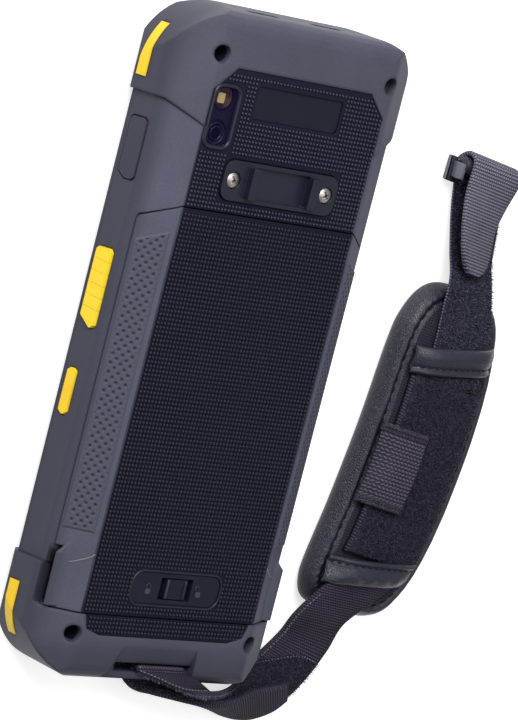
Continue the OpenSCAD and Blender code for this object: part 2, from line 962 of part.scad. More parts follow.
module battery_case() {
  color([0.15, 0.16, 0.2])
    difference() {
      union() {
        intersection() {
          body_form();
          translate([0, 0, ledge_z + 0.2])
            linear_extrude(height = far)
              battery_plan(0);
        }
        battery_block(0, cell_floor, ledge_z + 0.3 - cell_floor, block_short);
        finger_tabs();
        intersection() {
          envelope(half_w, half_l, panel_hw, body_t, 1);
          translate([-lip_w / 2, seam_top - 1, lip_z])
            cube([lip_w, 2.4, lip_t]);
        }
      }
      cell_space(0);
      translate([0, latch_y, 0])
        round_plate(latch_w + 2 * fit, latch_l + 2 * fit, 3, body_t - latch_depth, far);
      slider_space();
      finger_hollows();
      seal_groove(fit);
      for (x = [-1, 0, 1])
        translate([x * contact_pitch, bay_top - 0.6, contact_z])
          cube([contact_w + 2 * contact_fit, 3, contact_h + 2 * contact_fit], center = true);
    }
}

// Room for the cells, shrunk by g
module cell_space(g) {
  low = bay_bottom + 12;
  high = bay_top - 3;
  translate([0, (low + high) / 2, 0])
    round_plate(2 * (panel_hw - 1.5 - g), high - low - 2 * g, 2, cell_z + g, cell_top - cell_z - 2 * g);
}

// Room for the latch slider and its tongue
module slider_space() {
  translate([0, latch_y, body_t - 2.6])
    cube([slot_w, slot_l, 6], center = true);
  sweep = tongue_w + slider_travel + 1;
  translate([-sweep / 2, tongue_end - 0.3, tongue_z - 0.3])
    cube([sweep, latch_y - tongue_end, tongue_t + 0.6]);
  translate([-catch_back - catch_post - 0.5, tongue_end - 0.3, ledge_z - 1])
    cube([catch_back + catch_post + 0.5 + sweep / 2, 2.2, catch_top + 1.4 - ledge_z]);
}

// Groove round the sunk block that takes the seal
module seal_groove(g) {
  difference() {
    battery_block(0.6, seal_z - g, seal_h + 2 * g, block_short);
    battery_block(-seal_in - g, seal_z - 1, seal_h + 2, block_short);
  }
}

module battery_cells() {
  color([0.25, 0.3, 0.42])
    intersection() {
      cell_space(0.25);
      union() {
        for (s = [-1, 1])
          translate([s * (panel_hw - 1.5) / 2, 0, 0])
            cube([panel_hw - 1.9, 4 * far, 2 * far], center = true);
      }
    }
}

module battery_contacts() {
  color([0.9, 0.75, 0.3])
    for (x = [-1, 0, 1])
      translate([x * contact_pitch, bay_top - 1.1, contact_z])
        cube([contact_w, 1.8, contact_h], center = true);
}

module battery_seal() {
  color([0.08, 0.08, 0.08])
    difference() {
      battery_block(0.15, seal_z, seal_h, block_short);
      battery_block(-seal_in, seal_z - 1, seal_h + 2, block_short);
    }
}

module latch_plate() {
  color([0.1, 0.11, 0.15])
    difference() {
      translate([0, latch_y, 0])
        round_plate(latch_w, latch_l, 2.9, body_t - latch_depth + fit, 0.5);
      translate([0, latch_y, body_t])
        cube([slot_w, slot_l, 6], center = true);
    }
}

module latch_slider() {
  color([0.12, 0.13, 0.17]) {
    translate([0, latch_y, body_t - 2.6])
      cube([slider_w, slider_l, 5], center = true);
    translate([-tongue_w / 2, tongue_end, tongue_z])
      cube([tongue_w, latch_y - tongue_end, tongue_t]);
  }
}

// Squareness of the pad's corner at angle a
function pad_bend(a) = cos(a) < 0 && sin(a) < 0 ? pad_square : pad_power;

// Point of a ring on the pad at angle a, inset d
function pad_ring(a, d) = [
  (pad_w / 2 - d) * sign(cos(a)) * pow(abs(cos(a)), 2 / pad_bend(a)),
  (pad_l / 2 - d) * sign(sin(a)) * pow(abs(sin(a)), 2 / pad_bend(a))];

// Height of the pad's upper face over its own plan
function pad_face(x, y) = pad_edge + pad_crown
  * max(0, 1 - pow(abs(2 * x / pad_w), 2)) * max(0, 1 - pow(abs(2 * y / pad_l), 4));

module on_pad() {
  translate([pad_x, pad_y, pad_floor])
    rotate([0, 0, pad_turn])
      children();
}

// Closed skin over a list of rings of equal length
module ring_skin(rings) {
  n = len(rings[0]);
  m = len(rings);
  pts = [for (r = rings) for (p = r) p];
  last = (m - 1) * n;
  polyhedron(points = pts, faces = concat(
    [for (i = [0:n / 2 - 2]) [i, i + 1, n - 1 - i]],
    [for (i = [0:n / 2 - 2]) [i + 1, n - 2 - i, n - 1 - i]],
    [for (k = [0:m - 2]) for (i = [0:n - 1])
      [k * n + i, (k + 1) * n + i, (k + 1) * n + (i + 1) % n]],
    [for (k = [0:m - 2]) for (i = [0:n - 1])
      [k * n + i, (k + 1) * n + (i + 1) % n, k * n + (i + 1) % n]],
    [for (i = [0:n / 2 - 2]) [last + n - 1 - i, last + i + 1, last + i]],
    [for (i = [0:n / 2 - 2]) [last + n - 1 - i, last + n - 2 - i, last + i + 1]]));
}

module hand_pad() {
  sides = [[0, 3.4], [0.9, 1.2], [2.6, 0.1], [4.4, 0.5]];
  tops = [1.8, 3.4, 5.2, 7.4, 10.5, 14.5, 18.5];
  steps = [-0.5, 0.1, -0.9, -0.2, 0, 0, 0];
  color([0.16, 0.16, 0.18])
    on_pad()
      ring_skin(concat(
        [for (s = sides) [for (i = [0:ring_n - 1])
          let (p = pad_ring(i * 360 / ring_n, s[1])) [p[0], p[1], s[0]]]],
        [for (k = [0:len(tops) - 1]) [for (i = [0:ring_n - 1])
          let (p = pad_ring(i * 360 / ring_n, tops[k]))
            [p[0], p[1], pad_face(p[0], p[1]) + steps[k]]]]));
}

// Height of a band that bridges the leaning webbing at mid, between two heights at its ends
function bridge(x, y, drift, mid, lean, span, low, high) = max(pad_face(x, y + drift) + 0.35,
  low + (high - low) * (y - span[0]) / (span[1] - span[0])
  - 1.1 * max(0, abs(x - mid - lean * (y - span[0])) - web_w / 2 - 1));

// Skin over a grid of heights between two corners, t thick
module grid_sheet(xs, ys, heights, t, slant = 0, shift = 0) {
  nx = sheet_nx;
  on_pad()
    ring_skin([for (j = [0:sheet_ny])
      let (y = ys[0] + (ys[1] - ys[0]) * j / sheet_ny + shift, row = [for (i = [0:nx])
        let (x = xs[0] + (xs[1] - xs[0]) * i / nx) [x, y + slant * x, heights[j][i]]])
          concat([for (i = [nx:-1:0]) row[i]], [for (i = [0:nx]) row[i] + [0, 0, t]])]);
}

// Sheet that lies on the pad's face between two corners
module pad_sheet(xs, ys, lift, t) {
  grid_sheet(xs, ys, [for (j = [0:sheet_ny]) [for (i = [0:sheet_nx])
    pad_face(xs[0] + (xs[1] - xs[0]) * i / sheet_nx, ys[0] + (ys[1] - ys[0]) * j / sheet_ny) + lift]], t);
}

// Leather band across the pad and over the webbing
module pad_band(xs, ys, mid, lean, low, high, slant = 0, shift = 0) {
  grid_sheet(xs, ys, [for (j = [0:sheet_ny]) [for (i = [0:sheet_nx])
    let (x = xs[0] + (xs[1] - xs[0]) * i / sheet_nx)
      bridge(x, ys[0] + (ys[1] - ys[0]) * j / sheet_ny, slant * x + shift, mid, lean, ys, low, high)]],
    1, slant, shift);
}

module top_band() {
  color([0.15, 0.15, 0.17])
    pad_band([-15, 13.6], [21.5, 29], -0.6, 0, pad_edge + pad_crown + 2.2, pad_edge + pad_crown + 1.7,
      0.21, 2.73);
}

module bottom_band() {
  color([0.15, 0.15, 0.17])
    pad_band([-16.5, 11.5], [-38, -30.5], -3.45, 0.66, pad_edge + 4.76, pad_edge + pad_crown + 1.7);
}

module loop_panel() {
  color([0.09, 0.08, 0.1])
    pad_sheet([-13, 13], [-30, 21], 0.4, 1.6);
}

module pen_loop() {
  color([0.2, 0.19, 0.22])
    pad_sheet([-13.5, 1.5], [-16, 6], 2.35, 1.2);
}

function unit(v) = v / norm(v);

// Point on a smooth line through four neighbours
function smooth(a, b, c, d, t) = 0.5 * (2 * b + (c - a) * t + (2 * a - 5 * b + 4 * c - d) * t * t
  + (3 * b - a - 3 * c + d) * t * t * t);

function sampled(list) = [for (i = [0:len(list) - 2]) for (k = [0:path_n - 1])
  smooth(list[max(0, i - 1)], list[i], list[i + 1], list[min(len(list) - 1, i + 2)], k / path_n)];

// Strip of webbing between two edges
module strip(rights, lefts) {
  a = concat(sampled(rights), [rights[len(rights) - 1]]);
  b = concat(sampled(lefts), [lefts[len(lefts) - 1]]);
  last = len(a) - 1;
  ring_skin([for (i = [0:last])
    let (
      run = a[min(last, i + 1)] + b[min(last, i + 1)] - a[max(0, i - 1)] - b[max(0, i - 1)],
      up = unit(cross(run, a[i] - b[i])) * web_t / 2)
    [a[i] + up, b[i] + up, b[i] - up, a[i] - up]]);
}

// Point beyond the bottom end by d
function past_end(x, d, z) = [x, -half_l - d, z];

// The same, measured from the side wall
function past_corner(x, d, z) = past_end(half_w + x, d, z);

module lower_webbing() {
  r = loop_gap + web_t / 2;
  over = bar_z + bar_rz + r;
  under = bar_z - bar_rz - r;
  behind = -half_l - bar_y - bar_ry - r;
  turn = [[behind - 0.15, over - 0.6], [behind, over - 2], [behind, under + 2], [behind - 0.15, under + 0.6]];
  main_in = [on_axis(-10, -33, pad_floor + pad_edge + 4.3), on_axis(-15.8, -41.6, pad_floor + pad_edge + 2.8),
    on_axis(-18.6, -50, pad_edge), past_corner(12.2, -12.8, 3.6), past_corner(9, -7.4, 2.2),
    past_corner(5.4, -4.2, 2.6), past_corner(0.4, -1.4, 5.5), past_corner(-6.7, 0.6, 11.5),
    past_corner(-15.2, 1.2, over), past_end(17.5, 0.8, over + 3.2), past_end(10.5, 0.4, over + 3.3),
    past_end(3.5, -1.2, over + 1.8), past_end(-4, -3, over)];
  main_out = [on_axis(9.7, -33, pad_floor + pad_edge + 4.3), on_axis(4.6, -40.9, pad_floor + pad_edge + 3),
    on_axis(0.6, -49.6, pad_edge - 0.4), past_corner(31.8, -8, 2.6), past_corner(28, 0, 1.7),
    past_corner(22.4, 6.4, 1.6), past_corner(14.3, 10.4, 1.6), past_corner(2.8, 10.4, 1.8),
    past_corner(-6.7, 8.2, 3), past_end(30.6, 5.3, 8.5), past_end(24.1, 2.3, 14),
    past_end(16.6, -1.4, over + 0.3), past_end(11.2, -3, over)];
  tail_in = [past_end(-5, -1.8, under), past_end(0.4, 3.3, under + 1), past_end(5.3, 3.6, 12.5),
    past_end(10.6, 3.9, 15), past_end(16.7, 4.5, 16.3), past_corner(-17.4, 5.1, 16.3),
    past_corner(-9.4, 4.5, 14.5), past_corner(-1.1, 2.8, 12), past_corner(8.1, 1.6, 9.5),
    past_corner(15.6, 1, 7.8)];
  tail_out = [past_end(11, -1.8, under), past_end(15.9, 2.1, under), past_end(22.9, 5.1, 7.6),
    past_end(28.9, 7.1, 5.8), past_corner(-7.2, 9.1, 4.2), past_corner(-1.2, 11.3, 3),
    past_corner(5.3, 12.7, 2.2), past_corner(10.9, 12.7, 2), past_corner(17.2, 10.2, 2.6),
    past_corner(20.6, 6.5, 3.6)];
  color([0.2, 0.19, 0.22])
    strip(concat(main_in, [for (p = turn) past_end(-4.6, p[0], p[1])], tail_in),
      concat(main_out, [for (p = turn) past_end(11, p[0], p[1])], tail_out));
}

module upper_webbing() {
  low = fold_z - fold_r;
  high = fold_z + fold_r;
  lie = pad_floor + pad_edge + 0.4 + web_t / 2;
  turned = fold_r * 0.71;
  line = [[-0.6, 21.6, lie + pad_crown * 0.96], [-0.4, 31, lie + pad_crown * 0.82],
    [-0.4, 40, lie + pad_crown * 0.46], [-1, 48.5, lie - 0.2], [-1.6, 56, lie - 3.6], [-3.2, 65, low + 0.4],
    [-5.2, fold_y - 7, low], [fold_u, fold_y, low], [fold_u, fold_y + turned, fold_z - turned],
    [fold_u, fold_y + fold_r, fold_z], [fold_u, fold_y + turned, fold_z + turned], [fold_u, fold_y, high],
    [-6.3, fold_y - 7, high], [-5.8, 64.5, lie + 1.4], [-3.4, 57.5, lie + 1.8], [-2, 53.6, lie + 2.4],
    [-1.6, 51.4, lie + 2.8]];
  halves = [for (i = [0:len(line) - 1]) web_w / 2 * (i < 14 ? 1 : [0.96, 0.7, 0.34][i - 14])];
  tilts = [for (i = [0:len(line) - 1]) i > 13 ? 0.3 : i > 12 ? 0.22 : i > 4 ? 0.02 : i > 2 ? 0.12 : 0];
  color([0.2, 0.19, 0.22])
    strip([for (i = [0:len(line) - 1])
        on_axis(line[i][0] - halves[i], line[i][1], line[i][2] + tilts[i] * halves[i])],
      [for (i = [0:len(line) - 1])
        on_axis(line[i][0] + halves[i], line[i][1], line[i][2] - tilts[i] * halves[i])]);
}

// Point beside the pad's long axis
function on_axis(u, v, z) = [pad_x + u * cos(pad_turn) - v * sin(pad_turn),
  pad_y + u * sin(pad_turn) + v * cos(pad_turn), z];

module strap_hook() {
  color([0.22, 0.23, 0.27])
    translate(on_axis(fold_u, fold_y, fold_z))
      rotate([0, 0, pad_turn])
        rotate([0, 90, 0]) {
          translate([0, 0, -web_w / 2 - hook_out + 1])
            cylinder(h = web_w + hook_out - 1 - hook_in, r = hook_bar_r);
          translate([0, -hook_drop, -web_w / 2 - hook_out / 2 - 0.6])
            cube([hook_head - 1.2, hook_head, hook_out - 1.6], center = true);
          translate([0, -hook_drop, -web_w / 2 - hook_out + 0.5])
            cube([hook_head + 0.6, hook_head + 1.6, 1.2], center = true);
        }
}

front_bezel();
touch_glass();
display_panel();
mid_frame();
main_board();
board_shield();
rear_housing();
top_bumper();
bottom_bumper();
bumper_inserts();
case_screws();
camera_window();
camera_module();
flash_led();
label_plate();
strap_bracket();
bracket_screws();
port_flap();
port_connector();
scan_button();
scan_switch();
side_key();
key_switch();
volume_key();
volume_switch();
power_key();
power_switch();
speaker();
vibration_motor();
gnss_antenna();
bay_contacts();
battery_case();
battery_cells();
battery_contacts();
battery_seal();
latch_plate();
latch_slider();
lower_webbing();
hand_pad();
top_band();
bottom_band();
loop_panel();
pen_loop();
upper_webbing();
strap_hook();
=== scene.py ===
from math import atan2, copysign, cos, exp, hypot, pi, radians, sin

import bmesh
import bpy
import numpy as np
from mathutils import Matrix, Vector


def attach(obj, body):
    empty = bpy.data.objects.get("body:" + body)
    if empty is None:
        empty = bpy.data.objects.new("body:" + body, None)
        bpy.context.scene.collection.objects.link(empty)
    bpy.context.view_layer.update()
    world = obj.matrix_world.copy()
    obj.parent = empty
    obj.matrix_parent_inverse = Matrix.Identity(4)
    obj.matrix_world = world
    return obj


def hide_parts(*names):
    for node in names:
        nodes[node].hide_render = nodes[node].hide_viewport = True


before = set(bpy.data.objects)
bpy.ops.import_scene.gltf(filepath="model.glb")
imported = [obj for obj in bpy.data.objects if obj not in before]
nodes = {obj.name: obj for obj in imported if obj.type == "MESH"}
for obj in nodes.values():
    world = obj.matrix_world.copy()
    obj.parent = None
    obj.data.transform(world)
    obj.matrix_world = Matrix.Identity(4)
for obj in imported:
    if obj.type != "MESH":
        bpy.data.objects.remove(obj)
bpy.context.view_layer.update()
MM = 0.001

# Sizes of the device in millimetres: side wall, end, rear panel, flank and seams
HALF_W, HALF_L, REAR = 41.2, 87.25, 18.5
PANEL, WALL, LEDGE, FLANK = 29.0, 39.0, 12.4, 11.71
PANEL_TOP, PANEL_CUT = 73.15, 6.2
SEAM_TOP, SEAM_BOTTOM = 36.55, -69.1
WINDOW = (-24.0, 60.55, 9.4, 16.8)
LENS, FLASH = (-24.0, 56.05), (-24.0, 65.05)
PLATE = (0.0, 65.4, 28.8, 8.3)
BRACKET = (0.0, 45.35, 38.4, 10.3)
LATCH = (0.0, -61.4, 29.2, 8.3)
SIGN_Z = 18.36
UPPER_WELL, LOWER_WELL, WELL_SCREW, BRACKET_SCREW = (28.8, 75.85), (29.8, -74.75), 14.0, 15.7
GRIP_Y = -10.2

# Hollows under the battery's finger tabs: across, middle and half along, upwards
HOLLOW_X, HOLLOW_Y, HOLLOW_L, HOLLOW_Z = (35.1, 41.1), -60.9, 7.75, (11.6, 14.18)
NEAR_BLACK = (9, 9, 13)

# Sizes of the strap: pad, webbing and their place
PAD_W, PAD_L, PAD_FLOOR, PAD_EDGE, PAD_CROWN = 40.0, 94.0, 0.3, 6.4, 4.2
PAD_X, PAD_Y, PAD_TURN = 79.8, -21.6, radians(-8.4)
PAD_BOW, PAD_SEAM = 2.3, 3.9
TOP_BAND, LOW_BAND, TOP_SEAM, LOW_SEAM = (21.5, 29), (-38, -30.5), 23.4, -32.4
WEB_W, WEB_T, HOOK_R, HOOK_V = 19.0, 1.4, 2.2, 76.1
FOLD_U, FOLD_V, FOLD_Z = -7.6, 78.2, HOOK_R + WEB_T + 1.75


def linear(r, g, b):
    """Colour given as 0 to 255 screen values."""
    def one(c):
        c /= 255
        return c / 12.92 if c <= 0.04045 else ((c + 0.055) / 1.055) ** 2.4
    return (one(r), one(g), one(b), 1.0)


# Node trees

class Val:
    """A socket in a tree. Arithmetic on it adds Math nodes."""
    def __init__(self, graph, socket):
        self.graph, self.socket = graph, socket

    def operator(operation, swapped=False):
        """Method that adds a Math node to the value's tree."""
        def apply(self, *others):
            values = (self, *others)
            return self.graph.math(operation, *(values[::-1] if swapped else values))
        return apply

    __add__, __radd__ = operator("ADD"), operator("ADD", True)
    __sub__, __rsub__ = operator("SUBTRACT"), operator("SUBTRACT", True)
    __mul__, __rmul__ = operator("MULTIPLY"), operator("MULTIPLY", True)
    __truediv__, __rtruediv__ = operator("DIVIDE"), operator("DIVIDE", True)
    __pow__, __abs__ = operator("POWER"), operator("ABSOLUTE")
    low, high = operator("MINIMUM"), operator("MAXIMUM")
    above, below = operator("GREATER_THAN"), operator("LESS_THAN")
    floor, round, sine = operator("FLOOR"), operator("ROUND"), operator("SINE")

    def root(self):
        return self.graph.math("SQRT", self.high(0.0))

    def step(self, start, end):
        """0 at start, 1 at end and smooth between them."""
        return self.graph.out("ShaderNodeMapRange", {0: self, 1: start, 2: end}, interpolation_type="SMOOTHSTEP")


class Graph:
    """A node tree whose nodes all come from one method."""
    def __init__(self, tree):
        self.tree = tree

    def node(self, kind, sockets=None, **settings):
        made = self.tree.nodes.new(kind)
        for key, value in settings.items():
            setattr(made, key, value)
        for key, value in (sockets or {}).items():
            socket = made.inputs[key]
            if isinstance(value, Val):
                self.tree.links.new(value.socket, socket)
            else:
                socket.default_value = value
        return made

    def out(self, kind, sockets=None, output=0, **settings):
        return Val(self, self.node(kind, sockets, **settings).outputs[output])

    def parts(self, vector):
        split = self.node("ShaderNodeSeparateXYZ", {0: vector})
        return [Val(self, split.outputs[i]) for i in range(3)]

    def math(self, operation, *values):
        return self.out("ShaderNodeMath", dict(enumerate(values)), operation=operation)


class Finish(Graph):
    """A material built round one Principled shader."""
    def __init__(self, name):
        self.material = bpy.data.materials.new(name)
        self.material.use_nodes = True
        super().__init__(self.material.node_tree)
        self.tree.nodes.clear()
        self.place = self.out("ShaderNodeTexCoord", output="Object")

    def xyz(self):
        return self.parts(self.place)

    def finger_hollow(self):
        """One inside the hollows under the battery's finger tabs, where little light comes."""
        x, y, z = self.xyz()
        beside = abs(x).above(HOLLOW_X[0] * MM) * abs(x).below(HOLLOW_X[1] * MM)
        along = abs(y - HOLLOW_Y * MM).below(HOLLOW_L * MM) * (0 - y).step(0.0528, 0.0556)
        return beside * along * z.above(HOLLOW_Z[0] * MM) * z.below(HOLLOW_Z[1] * MM)

    def stretched(self, x, y, z):
        return self.out("ShaderNodeMapping", {0: self.place, 3: (x, y, z)})

    def noise(self, size, detail=2.0, place=None, rough=0.5):
        """Noise with grains of about the given size in millimetres."""
        return self.out("ShaderNodeTexNoise", {
            "Vector": place or self.place, "Scale": 1 / (size * MM), "Detail": detail, "Roughness": rough})

    def cells(self, size, feature="F1"):
        return self.out("ShaderNodeTexVoronoi", {"Vector": self.place, "Scale": 1 / (size * MM)}, feature=feature)

    def mix(self, first, second, amount):
        """Blend of two colours. A plain colour is given in screen values."""
        first, second = (linear(*c) if isinstance(c, tuple) else c for c in (first, second))
        return self.out("ShaderNodeMix", {0: amount, 6: first, 7: second}, 2, data_type="RGBA")

    def bump(self, height, depth, normal=None):
        """Relief of the given depth in millimetres."""
        sockets = {"Height": height, "Distance": depth * MM, "Strength": 1.0}
        if normal:
            sockets["Normal"] = normal
        return self.out("ShaderNodeBump", sockets)

    def soft_edge(self, radius):
        return self.out("ShaderNodeBevel", {"Radius": radius * MM}, samples=4)

    def shader(self, base, rough, normal=None, gloss=0.5, **fixed):
        sockets = {"Base Color": base, "Roughness": rough, "Specular IOR Level": gloss}
        if normal:
            sockets["Normal"] = normal
        sockets.update({key.replace("_", " "): value for key, value in fixed.items()})
        return self.out("ShaderNodeBsdfPrincipled", sockets)

    def wear(self, shader):
        self.node("ShaderNodeOutputMaterial", {0: shader})
        return self.material

    def close(self, *looks, **fixed):
        return self.wear(self.shader(*looks, **fixed))


# Finishes

def grained_plastic(name, dark, light, rough=0.5, edge=0.3, relief=0.035, gloss=0.35, low=None):
    """Grained plastic. With a low colour, painted shade darkens its low side faces and its bottom end."""
    f = Finish(name)
    grain = f.noise(0.55, 3)
    cloud = f.noise(14, 2)
    scuff = f.noise(1.6, 4, f.stretched(1, 0.25, 1), 0.7).step(0.6, 0.78)
    base = f.mix(f.mix(dark, light, grain * 0.55 + cloud * 0.45), NEAR_BLACK, f.finger_hollow() * 0.9)
    if low:
        x, y, z = f.xyz()
        # Painted shade: faces low on the sides and faces at the bottom end turn toward the low colour.
        side, end = 0.7 - 0.7 * z.step(0.0105, 0.0165), 0.6 * (0 - y).step(0.073, 0.082)
        base = f.mix(base, low, side.high(end))
    return f.close(base, rough + 0.14 * grain - 0.08 * scuff,
                   f.bump(grain, relief, f.soft_edge(edge)), gloss=gloss)


def shell_with_panel(name, dark, light, painted_wall_shade, panel_dark, panel_light):
    """Grained shell whose flat rear panel is smoother and near black. Its side walls carry painted shade, and the panel
    has painted light toward the top end.
    """
    f = Finish(name)
    x, y, z = f.xyz()
    grain = f.noise(0.55, 3)
    cloud = f.noise(14, 2)
    panel = (1 - abs(x).step((PANEL - 0.5) * MM, (PANEL + 0.4) * MM)) * z.above((LEDGE + 0.6) * MM)
    normal = f.bump(grain * (1 - 0.7 * panel), 0.035, f.soft_edge(0.5))
    # Painted shade: the side walls turn toward the painted wall shade colour.
    wall = abs(x).step((WALL - 4.0) * MM, (WALL + 1.4) * MM)
    shade = f.mix(f.mix(dark, light, grain * 0.55 + cloud * 0.45), painted_wall_shade, wall * 0.8)
    shade = f.mix(shade, NEAR_BLACK, f.finger_hollow() * 0.9)
    shell = f.shader(shade, 0.5 + 0.14 * grain, normal, gloss=0.35)
    # Painted light: the rear panel grows lighter toward the top end.
    far = y.step(0.02, 0.075) * 0.45
    deep = f.shader(f.mix(panel_dark, panel_light, grain * 0.4 + cloud * 0.4 + far), 0.46 + 0.1 * grain, normal,
                    gloss=0.12)
    return f.wear(f.out("ShaderNodeMixShader", {0: panel, 1: shell, 2: deep}))


def dimpled_plastic(name, dark, light, dimple_shade):
    """Grip field with painted shade in its dimples."""
    f = Finish(name)
    grain = f.noise(0.32, 3)
    # Depth of each dimple, which sets how much painted shade it gets.
    sunk = f.out("ShaderNodeAttribute", output="Fac", attribute_name="sunk")
    base = f.mix(f.mix(dark, light, grain), dimple_shade, sunk.step(0.1, 0.7) * 0.85)
    return f.close(base, 0.5 + 0.14 * grain, f.bump(grain, 0.02), gloss=0.3)


def smooth_plastic(name, dark, light, rough=0.32, gloss=0.4):
    f = Finish(name)
    cloud = f.noise(6, 3)
    fine = f.noise(0.25, 2)
    return f.close(f.mix(dark, light, cloud), rough + 0.1 * fine - 0.04 * cloud,
                   f.bump(fine, 0.006, f.soft_edge(0.3)), gloss=gloss)


def ribbed_key(name, dark, light):
    """Scan button with faint ribs across it."""
    f = Finish(name)
    x, y, z = f.xyz()
    cloud = f.noise(5, 3)
    row = (y - 0.0032 + (z - 0.007) * 0.12) / 0.0031
    rib = abs(row - row.round()).step(0.02, 0.09)
    inside = abs(y - 0.0122).below(0.0079)
    return f.close(f.mix(dark, light, cloud * 0.6 + rib * 0.4), 0.34 + 0.1 * cloud,
                   f.bump(1 - (1 - rib) * inside, 0.06, f.soft_edge(0.4)), gloss=0.4)


def metal(name, dark, light, rough=0.28):
    f = Finish(name)
    brushed = f.noise(0.3, 3, f.stretched(0.15, 1, 1))
    cloud = f.noise(2.5, 2)
    return f.close(f.mix(dark, light, 0.5 * brushed + 0.5 * cloud), rough + 0.18 * brushed,
                   f.bump(brushed, 0.004, f.soft_edge(0.15)), Metallic=1.0)


def board_green(name):
    f = Finish(name)
    tracks = f.cells(1.3, "DISTANCE_TO_EDGE").step(0.05, 0.12)
    return f.close(f.mix((30, 92, 62), (12, 58, 38), tracks), 0.35 + 0.15 * f.noise(1, 2), f.bump(tracks, 0.03))


def window_glass(name):
    """Dark tinted pane that lets the lens and the flash through."""
    f = Finish(name)
    tint = f.noise(4, 2)
    return f.close(f.mix((14, 10, 46), (30, 22, 78), tint), 0.05 + 0.03 * tint, None,
                   Alpha=0.16 + 0.08 * tint, gloss=0.35)


def screen_glass(name):
    f = Finish(name)
    smear = f.noise(9, 4, f.stretched(1, 0.4, 1), 0.65)
    return f.close(f.mix((6, 7, 9), (15, 16, 20), smear), 0.05 + 0.1 * smear.step(0.5, 0.75),
                   f.soft_edge(0.3), Coat_Weight=0.8, Coat_Roughness=0.04)


def lens_glass(name):
    f = Finish(name)
    x, y, z = f.xyz()
    far = ((x - LENS[0] * MM) ** 2.0 + (y - LENS[1] * MM) ** 2.0).root()
    ring = far.step(0.0005, 0.0013)
    return f.close(f.mix((60, 40, 120), (8, 8, 26), ring), 0.05 + 0.05 * f.noise(1, 2),
                   None, Coat_Weight=1.0, Coat_Roughness=0.02)


def leather(name, dark, light, rough=0.4):
    f = Finish(name)
    grain = f.cells(0.55, "DISTANCE_TO_EDGE").step(0.0, 0.24)
    pores = f.noise(0.18, 2)
    creases = f.noise(2.4, 4, f.stretched(0.5, 2.0, 1), 0.6)
    cloud = f.noise(16, 2)
    base = f.mix(dark, light, grain * 0.3 + creases * 0.35 + cloud * 0.35)
    height = grain * 0.5 + creases * 0.8 + pores * 0.2
    return f.close(base, rough + 0.16 * (1 - grain) + 0.1 * cloud - 0.12 * creases, f.bump(height, 0.1), gloss=0.62)


def lining_cloth(name, dark, light):
    """Plain fine cloth in the middle of the pad."""
    f = Finish(name)
    x, y, z = f.xyz()
    c, s = cos(PAD_TURN), sin(PAD_TURN)
    warp = (((x * c + y * s) / 0.00075) * pi).sine()
    weft = (((y * c - x * s) / 0.00075) * pi).sine()
    weave = abs(warp * weft)
    fuzz = f.noise(0.3, 2)
    return f.close(f.mix(dark, light, weave * 0.7 + fuzz * 0.3), 0.8 + 0.1 * fuzz, f.bump(weave + fuzz * 0.3, 0.12),
                   gloss=0.2)


def woven(name, dark, light, rib=0.86, across=0.92):
    """Ribbed webbing: rows of slanted threads that change side from row to row."""
    f = Finish(name)
    u, v = f.parts(f.out("ShaderNodeUVMap"))[:2]
    row = v / (rib * MM)
    number = row.floor()
    turn = number - (number / 2).floor() * 2
    inside = row - number
    crown = (inside * pi).sine()
    slant = (turn * 2 - 1) * inside * 0.9
    thread = ((u / (across * MM) + slant + turn * 0.5) * (2 * pi)).sine() * 0.5 + 0.5
    fuzz = f.noise(0.16, 3)
    height = crown * (0.35 + 0.65 * thread)
    worn = f.noise(7, 3)
    base = f.mix(dark, light, (height ** 1.5) * 0.9 + fuzz * 0.3 + worn * 0.2 - 0.2)
    return f.close(base, 0.78 + 0.14 * fuzz, f.bump(height + 0.25 * fuzz, 0.2), gloss=0.2)


def pile(name, dark, light):
    f = Finish(name)
    tuft = f.cells(0.42)
    matted = f.noise(1.3, 4, None, 0.65)
    fine = f.noise(0.24, 2)
    base = f.mix(dark, light, (1 - tuft) * 0.2 + matted.step(0.35, 0.75) * 0.3 + fine.step(0.52, 0.72) * 0.6)
    return f.close(base, 0.88 + 0.08 * fine, f.bump((1 - tuft) + matted * 1.2 + fine * 0.4, 0.3), gloss=0.15)


def thread(name, dark, light):
    f = Finish(name)
    twist = f.noise(0.3, 2)
    return f.close(f.mix(dark, light, twist.step(0.4, 0.7)), 0.6 + 0.2 * twist, f.bump(twist, 0.03), gloss=0.2)


# The shell's third colour is painted shade for its side walls.
SHELL = shell_with_panel("shell", (60, 62, 78), (92, 94, 113), (49, 50, 62), (17, 18, 31), (28, 29, 45))
# The bumpers' low colour is painted shade on their sides and bottom end.
BUMPER = grained_plastic("bumper", (58, 59, 74), (88, 89, 105), 0.48, 1.2, low=(46, 47, 60))
# One hook plastic in a darker and a lighter copy, for painted shade and painted light on its faces.
HOOK_SHADED = grained_plastic("hook_dark", (30, 30, 42), (54, 54, 68), 0.4)
HOOK_LIT = grained_plastic("hook_grey", (88, 88, 101), (122, 122, 136), 0.4)
WALL_GREY = grained_plastic("wall_grey", (42, 43, 55), (60, 61, 75), 0.52)
# Both grips paint shade into their dimples; the far grip is a copy with its own field tone and near-black painted
# shade.
GRIP = dimpled_plastic("grip", (60, 62, 77), (86, 88, 104), (38, 40, 53))
FAR_GRIP = dimpled_plastic("far_grip", (66, 68, 84), (94, 96, 113), (12, 13, 20))
NAVY = smooth_plastic("navy_plate", (21, 22, 36), (32, 33, 49), 0.42, 0.2)
BRACKET_NAVY = smooth_plastic("bracket_navy", (23, 25, 39), (36, 38, 55), 0.34, 0.45)
# Lighter navy for the thin beads on the panel's edges: painted highlight.
EDGE_HIGHLIGHT = smooth_plastic("panel_edge", (46, 48, 64), (66, 68, 86), 0.36)
